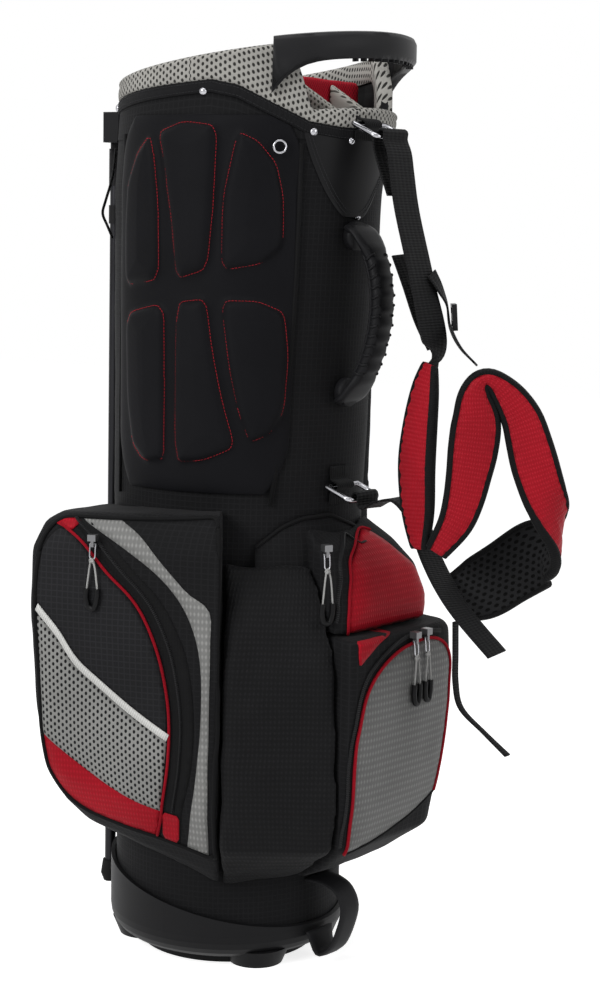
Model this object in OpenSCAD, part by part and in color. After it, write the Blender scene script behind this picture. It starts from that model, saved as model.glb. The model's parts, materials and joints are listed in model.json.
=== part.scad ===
// Golf stand bag: a padded tube with a base cup, collar, dividers, pockets, straps and a folding two-leg stand.
// +Z is up, +Y faces the straps, -Y the legs and +X the hip pad. The origin is on the floor, on the tube's axis.

/* [Base] */
// Radius of the base cup
cup_r = 117; // [112:0.5:124]
// Wall of the base cup
cup_wall = 4; // [3:0.5:5]
// Height of the cup's rim on the leg side
cup_high = 91; // [80:1:100]
// Height of the cup's rim on the strap side
cup_low = 38; // [32:1:46]
// Radius of the cup's bottom corner
cup_corner = 26; // [18:1:30]
// Radius of the corner under a foot lobe
lobe_corner = 9; // [6:1:12]
// Height of the foot lobes under the cup
lobe_h = 9; // [7:0.5:12]
// Radius of one foot lobe
lobe_r = 30; // [24:1:33]
// Distance of the foot lobes from the axis
lobe_reach = 82; // [76:1:86]

/* [Tube] */
// Half width of the tube at mid height
tube_half_x = 112; // [106:1:118]
// Half depth of the tube at mid height
tube_half_y = 125; // [120:1:130]
// Height where the tube has that width and depth
tube_mid_z = 450; // [400:10:500]
// Half width of the tube at the collar
collar_half_x = 117.5; // [112:0.5:124]
// Half depth of the tube at the collar
collar_half_y = 135; // [130:1:140]
// How far the collar's centre lies towards the straps
collar_shift = 24; // [18:1:28]
// Thickness of the tube's padded wall
tube_wall = 4; // [3:0.5:6]
// Height of the tube's upper edge
tube_top = 788; // [780:1:794]

/* [Collar] */
// Height of the rim at the sides
rim_mid = 858; // [850:1:866]
// Rise of the rim from the side to the strap side
rim_rise = 19; // [10:1:26]
// Depth of the dip under the arch handle
dip_depth = 61; // [50:1:66]
// Thickness of the moulded collar ring
collar_wall = 5; // [4:0.5:7]
// Thickness of the mesh cuff's padding
cuff_pad = 3.2; // [2.5:0.1:5]
// Height of the black band under the cuff
band_h = 11; // [8:0.5:14]
// Height of the arch handle's band
arch_h = 24; // [20:1:30]
// Thickness of the arch handle's band
arch_t = 13; // [10:0.5:16]
// Height of the arch handle's middle above the rim line
arch_above = 6; // [4:1:12]

/* [Dividers] */
// Distance of the front bar from the collar's centre
front_bar_y = 55; // [45:1:62]
// Distance of the rear bar from the collar's centre
rear_bar_y = 34; // [26:1:42]
// Distance of the two rails from the middle
rail_x = 31; // [26:1:36]
// Thickness of a padded divider bar
bar_t = 11; // [9:0.5:13]
// Height of a padded divider bar
bar_h = 34; // [28:1:40]
// Thickness of a divider sheet
sheet_t = 2.4; // [2:0.1:3]

/* [Pockets] */
// Thickness of the hip pad
hip_pad_t = 9; // [6:0.5:14]
// Height of the hip pad's lower edge
hip_pad_low = 462; // [440:1:480]
// Height of the hip pad's upper edge
hip_pad_high = 806; // [798:1:808]
// Height of the apparel pocket's top
apparel_top = 438; // [420:1:450]
// Height of the ball pocket's top
ball_top = 336; // [326:1:342]
// Height of the accessory pocket's top
accessory_top = 434; // [420:1:438]
// Height of the garment pocket's top
garment_top = 640; // [600:5:680]
// How far the garment pocket stands out
garment_depth = 62; // [40:1:80]

/* [Straps] */
// Direction of the line of grip and rings, from the hip pad side
spine_a = 80; // [76:1:84]
// Width of the wide webbing
webbing_w = 36; // [30:1:38]
// Width of the thin webbing
thin_w = 20; // [16:1:22]
// Thickness of all webbing
webbing_t = 2.2; // [1.6:0.1:2.6]
// Thickness of a shoulder pad
pad_t = 12; // [9:0.5:14]
// Width of a shoulder pad
pad_w = 62; // [50:1:70]
// Inner width of a D-ring
ring_w = 40; // [39:0.5:44]
// Depth of a D-ring
ring_d = 28; // [24:0.5:32]
// Wire diameter of a D-ring
ring_wire = 4.6; // [4:0.2:5.4]
// Width of the spine grip
grip_w = 26; // [22:1:32]
// Thickness of the spine grip
grip_t = 15; // [12:0.5:18]

/* [Stand] */
// Outer diameter of a leg tube
leg_d = 11; // [10:0.5:12]
// Wall of a leg tube
leg_wall = 1.2; // [1:0.1:1.6]
// Distance from a leg's pivot to the end of its tube
leg_length = 752; // [740:1:758]
// Height of the leg pivots
pivot_z = 795; // [790:1:800]
// Distance of a leg pivot from the middle
pivot_x = 25; // [24:0.5:27]
// Distance of the leg pivots from the tube's axis
pivot_y = 123.5; // [123:0.5:125]
// Diameter of the pivot pins
pin_d = 5; // [4:0.2:6]
// Outward turn of each leg's swing from straight ahead
splay = 30; // [25:1:35]
// Distance from a leg's pivot down to its link pin
link_drop = 80; // [70:1:90]
// Length of a link between its pins
link_length = 110; // [100:1:120]
// Diameter of the link pins
link_pin_d = 4; // [3.4:0.2:4.6]
// Diameter of the push rod
rod_d = 5; // [4:0.2:5.4]

/* [Hidden] */

gap = 0.3;
fit = 0.05;
$fn = 48;
around = 48;

// ---- Form of the tube ----

foot_r = cup_r - cup_wall - gap;
foot_top = cup_high + 5;
swell_top = foot_top + 70;
collar_z = 836;

function half_x(z) = lookup(z, [[foot_top, foot_r], [swell_top, tube_half_x + 1],
  [tube_mid_z, tube_half_x], [collar_z, collar_half_x]]);
function half_y(z) = lookup(z, [[foot_top, foot_r], [swell_top, tube_half_y - 6],
  [tube_mid_z, tube_half_y], [collar_z, collar_half_y]]);
function shift_y(z) = lookup(z, [[foot_top, 0], [swell_top, 3], [tube_mid_z, 6], [740, 13], [collar_z, collar_shift]]);

// A point at angle a and height z that lies out from the tube's surface
function on_tube(a, z, out = 0) =
  [(half_x(z) + out) * cos(a), shift_y(z) + (half_y(z) + out) * sin(a), z];
// The y of the surface at a given x, on the strap side (+1) or the leg side (-1)
function face_y(x, z, side, out = 0) =
  shift_y(z) + side * (half_y(z) + out) * sqrt(max(0, 1 - pow(x / (half_x(z) + out), 2)));
// The x of the surface at a given y
function face_x(y, z, out = 0) =
  (half_x(z) + out) * sqrt(max(0, 1 - pow((y - shift_y(z)) / (half_y(z) + out), 2)));

// Distance from the axis to the surface along the spine's direction
function spine_r(z, out = 0) =
  let (hx = half_x(z) + out, hy = half_y(z) + out, y = shift_y(z), c = cos(spine_a), s = sin(spine_a),
    p = c * c / (hx * hx) + s * s / (hy * hy), q = -2 * s * y / (hy * hy), w = y * y / (hy * hy) - 1)
  (-q + sqrt(q * q - 4 * p * w)) / (2 * p);
// The angle of on_tube() that the spine's direction meets
function spine_turn(z) = atan2((spine_r(z) * sin(spine_a) - shift_y(z)) / half_y(z), spine_r(z) * cos(spine_a) / half_x(z));
// Children stand with +Y along the spine's direction
module at_spine() rotate(spine_a - 90) children();

function unit(v) = v / norm(v);
function mix(a, b, t) = a + (b - a) * t;
function smooth(t) = let (c = min(1, max(0, t))) c * c * (3 - 2 * c);
function steps(a, b, n) = [for (i = [0 : n]) a + (b - a) * i / n];

// Height of the cuff's rim: tilted up towards the straps, with a dip between the handle's lugs
lug_a = 36;
function rim_z(a) = rim_mid + rim_rise * sin(a) - dip_depth * smooth((52 - abs(a - 90)) / 14);
// Height of the black band's top, by the turn away from the leg side
function from_legs(a) = abs((a + 90 + 540) % 360 - 180);
function band_z(a) = lookup(from_legs(a),
  [[0, 818], [30, 821], [65, 830], [99, 837], [110, 832], [124, 817], [140, 801], [155, 797], [180, 796]]);

// ---- Skins and sweeps ----

// A closed skin over rings of points, each ring anticlockwise about the sweep's direction.
// A folded ring goes out along one side and back along the other, and its ends are closed by strips between them.
module skin(rings, looped = false, folded = false) {
  n = len(rings[0]);
  m = len(rings);
  spans = looped ? m - 1 : m - 2;
  sides = [for (i = [0 : spans], j = [0 : n - 1])
    let (a = i * n, b = ((i + 1) % m) * n, k = (j + 1) % n)
    each [[a + j, b + j, b + k], [a + j, b + k, a + k]]];
  last = (m - 1) * n;
  plain = [[for (j = [0 : n - 1]) j], [for (j = [n - 1 : -1 : 0]) last + j]];
  strips = [for (j = [0 : n / 2 - 2]) let (k = n - 1 - j)
    each [[j, j + 1, k - 1], [j, k - 1, k], [last + k - 1, last + j + 1, last + j], [last + k, last + k - 1, last + j]]];
  ends = looped ? [] : folded ? strips : plain;
  polyhedron(points = [for (r = rings) each r], faces = concat(sides, ends), convexity = 6);
}

// Catmull-Rom curve through a few hand-set points
function curve(p, n = 4) = concat([for (i = [0 : len(p) - 2], k = [0 : n - 1])
  let (a = p[max(0, i - 1)], b = p[i], c = p[i + 1], d = p[min(len(p) - 1, i + 2)], t = k / n)
  0.5 * (2 * b + (c - a) * t + (2 * a - 5 * b + 4 * c - d) * t * t + (3 * b - a - 3 * c + d) * t * t * t)],
  [p[len(p) - 1]]);
function heading(p, i) = unit(p[min(i + 1, len(p) - 1)] - p[max(i - 1, 0)]);

// A strip along a path; across gives its width direction at each point and corners its section, in half sizes
flat_corners = [[1, 1], [-1, 1], [-1, -1], [1, -1]];
soft_corners = [for (k = [0 : 9]) let (c = cos(k * 36), s = sin(k * 36)) [sign(c) * pow(abs(c), 0.6), sign(s) * pow(abs(s), 0.8)]];
module strip(path, across, w, t, corners = flat_corners) {
  skin([for (i = [0 : len(path) - 1])
    let (d = heading(path, i), b0 = across[i], b = unit(b0 - d * (d * b0)), up = cross(d, b))
    [for (c = corners) path[i] + b * (c[0] * w[i] / 2) + up * (c[1] * t[i] / 2)]]);
}
function all(path, v) = [for (p = path) v];

// A slab that lies on the tube: rows of heights, each from one angle to another, with rules for thickness and height
slab_seat = 0.8;
module slab(rows, cols, thick, level = function(z, a) z) {
  inner = [for (r = rows) [for (c = [0 : cols]) let (a = mix(r[1], r[2], c / cols)) on_tube(a, level(r[0], a), slab_seat)]];
  outer = [for (i = [0 : len(rows) - 1]) [for (c = [0 : cols]) let (a = mix(rows[i][1], rows[i][2], c / cols))
    on_tube(a, level(rows[i][0], a), slab_seat + thick(i / (len(rows) - 1), c / cols))]];
  skin([for (i = [0 : len(rows) - 1]) concat(outer[i], [for (c = [cols : -1 : 0]) inner[i][c]])], folded = true);
}
// Thickness that stays full over the middle and rounds off at the edges
function pillow(u, v, t, edge) =
  edge + (t - edge) * pow((1 - pow(abs(2 * u - 1), 6)) * (1 - pow(abs(2 * v - 1), 6)), 0.5);

// The tube's own volume grown by out, to cut what sits on it
module tube_volume(out, z0 = 0, z1 = 860) {
  skin([for (z = concat([z0], [for (s = [foot_top, swell_top, 300, tube_mid_z, 600, 740, collar_z]) if (s > z0 && s < z1) s], [z1]))
    [for (k = [0 : around - 1]) on_tube(k * 360 / around, z, out)]]);
}

module rod(a, b, d) {
  v = b - a;
  translate(a) rotate([0, acos(v[2] / norm(v)), atan2(v[1], v[0])]) cylinder(d = d, h = norm(v));
}

// ---- Base ----

plate_reach = 100;
toe_w = 12;
toe_top = 10;
rod_lift = 16;
hinge_d = 4;

rim_tilt = atan((cup_high - cup_low) / (2 * cup_r));
module cup_outline(lift, shrink, top, corner = cup_corner) {
  r = cup_r - shrink;
  c = corner - shrink;
  polygon(concat([[0, lift + shrink]], [for (k = [0 : 6]) [r - c + c * sin(k * 15), lift + shrink + c - c * cos(k * 15)]],
    [[r, top], [0, top]]));
}

// Ring rib and the four lobes that the bag stands on
lobe_angles = [-60, -120, 52, 128];
module foot_lobes() {
  intersection() {
    rotate_extrude() cup_outline(0, 0, lobe_h + 12, lobe_corner);
    difference() {
      union() {
        for (a = lobe_angles)
          rotate(a) translate([lobe_reach, 0, 0]) cylinder(r1 = lobe_r - 4, r2 = lobe_r + 3, h = lobe_h + 8);
        rotate(-52) rotate_extrude(angle = 284) translate([lobe_reach - 4, 0]) square([8, lobe_h + 8]);
      }
      rotate_extrude() cup_outline(lobe_h, cup_wall / 2, cup_high + 60);
    }
  }
}

plate_w = 44;
hinge_y = -6;
hinge_z = 6;
// The bag stands on a floor above the plate's bay
floor_z = toe_top + rod_lift + 4;
module base_cup() color("#1b1b1d") difference() {
  union() {
    rotate_extrude() difference() {
      cup_outline(lobe_h, 0, cup_high + 20);
      cup_outline(lobe_h, cup_wall, cup_high + 21);
    }
    rotate_extrude() intersection() {
      cup_outline(lobe_h, cup_wall / 2, cup_high);
      translate([0, floor_z - cup_wall]) square([cup_r, cup_wall]);
    }
    foot_lobes();
    for (s = [-1, 1]) translate([s * (plate_w / 2 + 4) - 3, hinge_y - 7, 1.5]) cube([6, 14, lobe_h + 2]);
  }
  translate([0, 0, (cup_high + cup_low) / 2]) rotate([-rim_tilt, 0, 0])
    translate([-cup_r - 10, -cup_r - 40, 0]) cube([2 * cup_r + 20, 2 * cup_r + 80, 120]);
  translate([-plate_w / 2 - 0.8, -plate_reach - 4, -1]) cube([plate_w + 1.6, plate_reach + 4 + hinge_y + 8, floor_z - cup_wall + 1]);
  translate([-toe_w / 2 - 2, -cup_r - 5, -1]) cube([toe_w + 4, 30, floor_z - cup_wall + 1]);
  rod([-plate_w, hinge_y, hinge_z], [plate_w, hinge_y, hinge_z], hinge_d + 2 * fit);
}
// The plate's hinge pin, pressed into the cup's two ears
module hinge_pin() color("#b9b9bc") rod([-plate_w / 2 - 7, hinge_y, hinge_z], [plate_w / 2 + 7, hinge_y, hinge_z], hinge_d);

module base_handle() color("#161617") at_spine() {
  seat = cup_r + gap + 2.5;
  path = curve([[0, seat, 33], [0, cup_r + 11, 12], [0, cup_r + 25, 20], [0, cup_r + 35, 40],
    [0, cup_r + 40, 62], [0, cup_r + 32, 78], [0, cup_r + 17, 84], [0, spine_r(86) + gap + 2.5, 85]], 4);
  n = len(path) - 1;
  strip(path, all(path, x_axis), [for (i = [0 : n]) 28 + 12 * pow(abs(2 * i / n - 1), 4)], all(path, 5), soft_corners);
}

// ---- Tube, stays and collar ----

tube_low = floor_z + gap;
module bag_tube() color("#202022") {
  levels = [tube_low + 6, foot_top, foot_top + 24, foot_top + 46, swell_top, 300, tube_mid_z, 600, 740, tube_top];
  foot = foot_r - 3;
  skin([for (k = [0 : around - 1]) let (a = 360 - k * 360 / around) concat(
    [[(foot - 6) * cos(a), (foot - 6) * sin(a), tube_low]],
    [[foot * cos(a), foot * sin(a), tube_low]],
    [for (z = levels) on_tube(a, z)],
    [for (i = [len(levels) - 1 : -1 : 1]) on_tube(a, levels[i], -tube_wall)],
    [on_tube(a, tube_low + 6, -tube_wall)])], true);
}

// Stays run up the inside of the wall, from the cup's floor to the collar ring
stay_d = 6;
stay_angles = [90, -35, 215];
module stays() color("#d8d4c4") for (a = stay_angles) {
  levels = [tube_low + 4, 66, foot_top, foot_top + 24, foot_top + 46, swell_top, 300, tube_mid_z, 600, 740, collar_low - 1.5];
  skin([for (z = levels) let (p = on_tube(a, z, -tube_wall - stay_d / 2 - (z < 70 ? 3.5 : 2 * gap)))
    [for (t = [0 : 30 : 330]) p + stay_d / 2 * [cos(t), sin(t), 0]]]);
}

// Moulded ring inside the cuff, from below the tube's edge to under the rim
collar_low = 764;
collar_seat = -tube_wall - gap;
ring_in = collar_seat - collar_wall;
module collar_ring() color("#111113")
  skin([for (k = [0 : around - 1]) let (a = 360 - k * 360 / around, top = rim_z(a) - cuff_pad - 2)
    [on_tube(a, collar_low, ring_in), on_tube(a, collar_low, collar_seat), on_tube(a, tube_top + gap, collar_seat),
     on_tube(a, tube_top + gap, 0), on_tube(a, band_z(a), 0), on_tube(a, top, -1.6), on_tube(a, top, ring_in + 1),
     on_tube(a, top - 4, ring_in), on_tube(a, min(collar_z, top - 5), ring_in)]], true);

module collar_band() color("#19191b")
  skin([for (k = [0 : around - 1]) let (a = 360 - k * 360 / around, top = band_z(a) - gap)
    [on_tube(a, top - band_h, gap), on_tube(a, top - band_h, 1.6), on_tube(a, top - band_h / 2, 2.6),
     on_tube(a, top, 1.6), on_tube(a, top, gap)]], true);

module mesh_cuff() color("#b9b7b0")
  skin([for (k = [0 : around - 1]) let (a = 360 - k * 360 / around, z = rim_z(a), b = band_z(a), inner = ring_in - 0.9)
    [on_tube(a, b, gap), on_tube(a, b, 1.4), on_tube(a, mix(b, z, 0.35), cuff_pad), on_tube(a, z - 7, cuff_pad),
     on_tube(a, z - 1.8, cuff_pad - 2.4), on_tube(a, z, -3), on_tube(a, z - 1, inner - 0.5), on_tube(a, z - 4, inner - cuff_pad + 1),
     on_tube(a, z - 8, inner - cuff_pad), on_tube(a, z - 24, inner - cuff_pad), on_tube(a, z - 24, inner),
     on_tube(a, z - cuff_pad - 0.6, inner), on_tube(a, z - cuff_pad - 0.6, gap - 0.7)]], true);

// The arch handle runs from lug to lug outside the cuff
arch_n = 28;
module arch_handle() color("#141416") {
  seat = cuff_pad + gap;
  rings = [for (i = [0 : arch_n])
    let (a = mix(lug_a - 3, 180 - lug_a + 3, i / arch_n), end = pow(abs(2 * i / arch_n - 1), 8),
      top = rim_mid + rim_rise * sin(a) + arch_above, drop = arch_h + 26 * end,
      t = arch_t - 4.5 * end, low = top - drop, out = seat + t)
    [on_tube(a, low + 2, seat), on_tube(a, low, seat + 2.5), on_tube(a, low, out - 3), on_tube(a, low + 4, out),
     on_tube(a, top - 5, out), on_tube(a, top - 1, out - 2), on_tube(a, top, out - 5), on_tube(a, top, seat + 2),
     on_tube(a, top - 3, seat)]];
  skin([for (r = rings) [for (j = [len(r) - 1 : -1 : 0]) r[j]]]);
  // Finger ribs along the inner lower edge
  for (i = [8 : 1 : arch_n - 8]) let (a = mix(lug_a - 3, 180 - lug_a + 3, i / arch_n),
    p = on_tube(a, rim_mid + rim_rise * sin(a) + arch_above - arch_h, seat + arch_t / 2))
    translate(p - [0, 0, 1.2]) rotate(a) cube([arch_t - 6, 1.8, 3], center = true);
}

// ---- Dividers ----

front_y = collar_shift + front_bar_y;
rear_y = collar_shift - rear_bar_y;
bar_top = 846;
clear_in = ring_in - cuff_pad - 1.4;

// A padded bar's section: rounded top over a straight sheet-wide foot
module bar_section() {
  r = bar_t / 2;
  translate([0, -r]) circle(r);
  translate([-r, -bar_h]) square([bar_t, bar_h - r]);
}
// A bar along X between two ends, its top at the given height
module bar_x(x0, x1, y, top) translate([x0, y, top]) rotate([90, 0, 90]) linear_extrude(x1 - x0) bar_section();
// A bar along Y whose top runs from one height to another, with upright ends
bar_ring = concat([for (t = steps(-90, 90, 6)) [sin(t), cos(t) - 1]], [[1, -2 * bar_h / bar_t], [-1, -2 * bar_h / bar_t]]) * bar_t / 2;
module bar_y(x, y0, y1, top0, top1) skin([for (e = [[y0, top0], [y1, top1]])
  [for (p = bar_ring) [x + p[0], e[0], e[1] + p[1]]]]);
function bar_half(y) = face_x(y, bar_top - bar_h, clear_in);
module front_bar() color("#b3122b") bar_x(-bar_half(front_y + bar_t / 2), bar_half(front_y + bar_t / 2), front_y, bar_top);
module rear_bar() color("#a9a8a2") bar_x(-bar_half(rear_y - bar_t / 2), bar_half(rear_y - bar_t / 2), rear_y, bar_top - 8);
rail_end = face_y(rail_x + bar_t / 2, 790, 1, clear_in);
rail_drop = 34;
module rail(s) bar_y(s * rail_x, front_y + bar_t / 2 + gap, rail_end, bar_top - 4, bar_top - rail_drop);
module rail_left() color("#a9a8a2") rail(-1);
module rail_right() color("#a9a8a2") rail(1);
module mid_bar() color("#a9a8a2") bar_y(0, rear_y + bar_t / 2 + gap, front_y - bar_t / 2 - gap, bar_top - 10, bar_top - 6);
module leg_side_bar() color("#a9a8a2")
  bar_y(0, face_y(bar_t / 2, bar_top - 18, -1, clear_in), rear_y - bar_t / 2 - gap, bar_top - 22, bar_top - 10);

// Full-length sheets hang under the bars, their side edges clear of the tube's inner wall
sheet_low = tube_low + 8;
sheet_levels = [sheet_low, foot_top, swell_top, 300, tube_mid_z, 600, 740, collar_low - 4];
sheet_in = -tube_wall - 1.5;
collar_in = collar_seat - collar_wall - 1.2;
module sheet_x(y, top) {
  half = [for (z = sheet_levels) [face_x(y + (y > 20 ? sheet_t : -sheet_t) / 2, z, sheet_in), z]];
  upper = face_x(y, collar_low, collar_in);
  edge = concat(half, [[upper, collar_low - 3.9], [upper, top]]);
  translate([0, y + sheet_t / 2, 0]) rotate([90, 0, 0]) linear_extrude(sheet_t)
    polygon(concat(edge, [for (i = [len(edge) - 1 : -1 : 0]) [-edge[i][0], edge[i][1]]]));
}
// A sheet along Y from a fixed edge to the wall on one side
module sheet_to_wall(x, y0, side, top, top_wall) {
  wall = [for (z = sheet_levels) [face_y(x, z, side, sheet_in), z]];
  upper = face_y(x, side > 0 ? collar_low : top, side, collar_in);
  far = concat(wall, [[upper, collar_low - 3.9], [upper, top_wall]]);
  translate([x - sheet_t / 2, 0, 0]) rotate([90, 0, 90]) linear_extrude(sheet_t)
    polygon(concat([[y0, sheet_low]], far, [[y0, top]]));
}
under = bar_top - bar_h - gap;
module front_sheet() color("#2b2b2d") sheet_x(front_y, under);
module rear_sheet() color("#2b2b2d") sheet_x(rear_y, under - 8);
module sheet_left() color("#2b2b2d") sheet_to_wall(-rail_x, front_y + sheet_t / 2 + gap, 1, under - 6, under - rail_drop - 4);
module sheet_right() color("#2b2b2d") sheet_to_wall(rail_x, front_y + sheet_t / 2 + gap, 1, under - 6, under - rail_drop - 4);
module mid_sheet() color("#2b2b2d") translate([-sheet_t / 2, rear_y + sheet_t / 2 + gap, sheet_low])
  cube([sheet_t, front_y - rear_y - sheet_t - 2 * gap, under - 14 - sheet_low]);
module leg_side_sheet() color("#2b2b2d") sheet_to_wall(0, rear_y - sheet_t / 2 - gap, -1, under - 14, under - 26);

// ---- Pads and pockets ----

pad_left = -37;
pad_right = 50;
module hip_pad() color("#1a1a1c") {
  rows = [for (u = steps(0, 1, 14)) let (z = mix(hip_pad_low, hip_pad_high - 4 * u, u),
    round = 10 * pow(max(0, 1 - u / 0.16), 2), top = 8 * pow(max(0, (u - 0.9) / 0.1), 2))
    [z, pad_left + round + top, pad_right - round - top]];
  slab(rows, 14, function(u, v) pillow(u, v, hip_pad_t, 2.5), function(z, a) mix(hip_pad_low, min(hip_pad_high,
    band_z(a) - band_h - 3 * gap), (z - hip_pad_low) / (hip_pad_high - hip_pad_low)));
}

// Corner of a pocket outline rounded with a short curve of five points
function rounded(p, r) = [for (i = [0 : len(p) - 1])
  let (a = p[(i + len(p) - 1) % len(p)], b = p[i], c = p[(i + 1) % len(p)],
    ra = min(r[i], norm(a - b) * 0.45), rc = min(r[i], norm(c - b) * 0.45),
    s = b + unit(a - b) * ra, e = b + unit(c - b) * rc)
  each [for (t = steps(0, 1, 4)) s * pow(1 - t, 2) + b * 2 * t * (1 - t) + e * t * t]];

// Everything between two seams, each a vertical plane through the axis
module between(a0, a1) {
  half = (a1 - a0) / 2;
  translate([cos(a0 + half), sin(a0 + half)] * gap / 2 / sin(half)) linear_extrude(900)
    polygon([[0, 0], [cos(a0), sin(a0)] * 500, [cos(a0 + half), sin(a0 + half)] * 700, [cos(a1), sin(a1)] * 500]);
}

// A pocket: a plan outline lofted through levels, then cut to the tube and to its seams.
// Each level holds its height at the leg side and at the strap side and its share of the full stand-off.
module pouch(outline, radii, levels, seams) {
  heart = [0, shift_y(300)];
  intersection() {
    between(seams[0], seams[1]);
    difference() {
    skin([for (l = levels)
      let (flat = rounded([for (p = outline) let (d = norm(p - heart), wall = 108)
        heart + unit(p - heart) * (d > wall ? mix(wall, d, l[2]) : d)], radii))
      [for (k = [0 : len(flat) - 1]) let (t = unit([flat[k][1] - heart[1], flat[k][0]])[0])
        [flat[k][0], flat[k][1], mix(l[0], l[1], (t + 1) / 2)]]]);
      tube_volume(gap, 20, 700);
    }
  }
}
side_seam = 28.5;
ball_seam = 63;

module apparel_pocket() color("#a3a3a0") pouch(
  [[60, -80], [96, -102], [194, -112], [150, 90], [110, 80], [60, 50]], [4, 10, 22, 6, 6, 4],
  [[146, 70, 0.3], [160, 80, 0.5], [184, 98, 0.7], [216, 136, 0.85], [260, 200, 0.93], [340, 330, 1],
   [apparel_top - 30, apparel_top - 26, 0.98], [apparel_top - 8, apparel_top + 2, 0.86],
   [apparel_top, apparel_top + 14, 0.7]], [-62, side_seam]);

module side_pocket() color("#1d1d1f") pouch(
  [[50, 10], [125, 50], [150, 84], [98, 172], [74, 190], [20, 80]], [3, 5, 10, 12, 6, 4],
  [[72, 92, 0.15], [86, 112, 0.55], [120, 136, 0.9], [170, 176, 1], [300, 300, 0.92], [360, 356, 0.74], [380, 372, 0.62],
   [408, 396, 0.4]], [side_seam, ball_seam]);

module ball_pocket() color("#9c9c99") pouch(
  [[40, 60], [84, 130], [96, 189], [-66, 218], [-78, 150], [-40, 70]], [3, 6, 12, 22, 10, 4],
  [[92, 92, 0.2], [106, 106, 0.5], [134, 134, 0.84], [180, 180, 0.92], [250, 250, 0.98], [300, 300, 1],
   [ball_top - 6, ball_top - 6, 0.985], [ball_top, ball_top, 0.94]], [ball_seam, 118]);

module accessory_pocket() color("#a3122a") pouch(
  [[40, 50], [84, 120], [84, 170], [-54, 194], [-70, 140], [-40, 70]], [3, 6, 18, 22, 10, 4],
  [[ball_top + gap, ball_top + gap, 1], [360, 360, 1], [390, 390, 0.88], [412, 412, 0.62],
   [accessory_top - 8, accessory_top - 8, 0.36], [accessory_top, accessory_top, 0.22]], [ball_seam, 118]);

module garment_pocket() color("#1d1d1f") {
  rows = [for (u = steps(0, 1, 12)) [mix(96, garment_top, u), 146 + 3 * (1 - u), 214 + 4 * (1 - u)]];
  slab(rows, 12, function(u, v) pillow(u, v, garment_depth * (0.62 + 0.38 * (1 - u)), 3));
}

// White elastic band pulled across the apparel pocket's face
module elastic_band() color("#e9e8e4") {
  far = [194, -112, 0];
  near = [150, 90, 0];
  face = unit(cross(near - far, [0, 0, 1]));
  path = curve([for (p = [[0.1, 350], [0.17, 332], [0.25, 309], [0.38, 288], [0.51, 270], [0.72, 241]])
    mix(far, near, p[0]) + face * (gap + 0.8) + [0, 0, p[1]]], 3);
  strip(path, [for (i = [0 : len(path) - 1]) cross(heading(path, i), face)], all(path, 7), all(path, 1.6));
}

// ---- Spine ----

module spine_patch() color("#161618") difference() {
  rows = [for (u = steps(0, 1, 8)) let (z = mix(716, 784, u), a = spine_turn(z), half = 5 + 24 * pow(u, 0.7)) [z, a - half, a + half]];
  slab(rows, 8, function(u, v) 2.2);
  at_spine() translate([-tab_w / 2 - gap, 100, tab_low - gap]) cube([tab_w + 2 * gap, 100, 90]);
}

// Grip with finger notches, swept along its arch
grip_foot = 548;
grip_head = 708;
function grip_point(t) = let (z = mix(grip_foot, grip_head, t), up = pow(sin(t * 180), 0.62))
  [0, spine_r(z) + gap + 5 + up * 37 * (0.86 + 0.2 * t), z];
module spine_grip() color("#18181a") at_spine() {
  n = 48;
  path = [for (i = [0 : n]) grip_point(i / n)];
  skin([for (i = [0 : n])
    let (t = i / n, d = heading(path, i), up = cross(d, [1, 0, 0]), mid = smooth(sin(t * 180) * 2.4 - 0.4),
      notch = 1 - 0.16 * mid * (1 + cos(i * 90)), w = grip_w + 12 * (1 - mid), h = mix(7, grip_t, mid))
    [for (k = [0 : 11]) let (c = cos(k * 30), s = sin(k * 30))
      path[i] + [1, 0, 0] * w / 2 * sign(c) * pow(abs(c), 0.7)
        + up * h / 2 * sign(s) * pow(abs(s), 0.8) * (s > 0 ? notch : 1)]]);
  for (z = [grip_foot + 8, grip_head - 8]) let (lean = atan((spine_r(z + 15) - spine_r(z - 15)) / 30))
    translate([0, spine_r(z) + gap + 0.2, z]) rotate([-90 - lean, 0, 0]) cylinder(d = grip_w, h = 9);
}

// D-rings hinge in webbing tabs: each tab is a sleeve round the ring's bar over a sewn tail
tab_w = ring_w - 2;
tab_low = 752;
sleeve_r = ring_wire / 2 + fit + webbing_t;
upper_bar = [0, spine_r(795) + gap + sleeve_r + 4, 800];
lower_bar = [0, spine_r(452) + gap + sleeve_r + 2, 468];
ring_lean_upper = -24;
ring_lean_lower = -20;
module ring_tab(bar, tail) {
  y0 = spine_r(bar[2] - tail) + gap;
  difference() {
    union() {
      translate([-tab_w / 2, 0, 0]) rod([-0, bar[1], bar[2]], [tab_w, bar[1], bar[2]], 2 * sleeve_r);
      translate([-tab_w / 2, 0, 0]) rotate([90, 0, 90]) linear_extrude(tab_w)
        polygon([[y0, bar[2] - tail], [y0 + webbing_t, bar[2] - tail], [bar[1], bar[2] - sleeve_r],
          [bar[1], bar[2]], [bar[1] - sleeve_r, bar[2]]]);
    }
    rod([-tab_w, bar[1], bar[2]], [tab_w, bar[1], bar[2]], ring_wire + 2 * fit);
  }
}
module ring_tabs() color("#1c1c1e") at_spine() {
  ring_tab(upper_bar, 48);
  ring_tab(lower_bar, 30);
}

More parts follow.
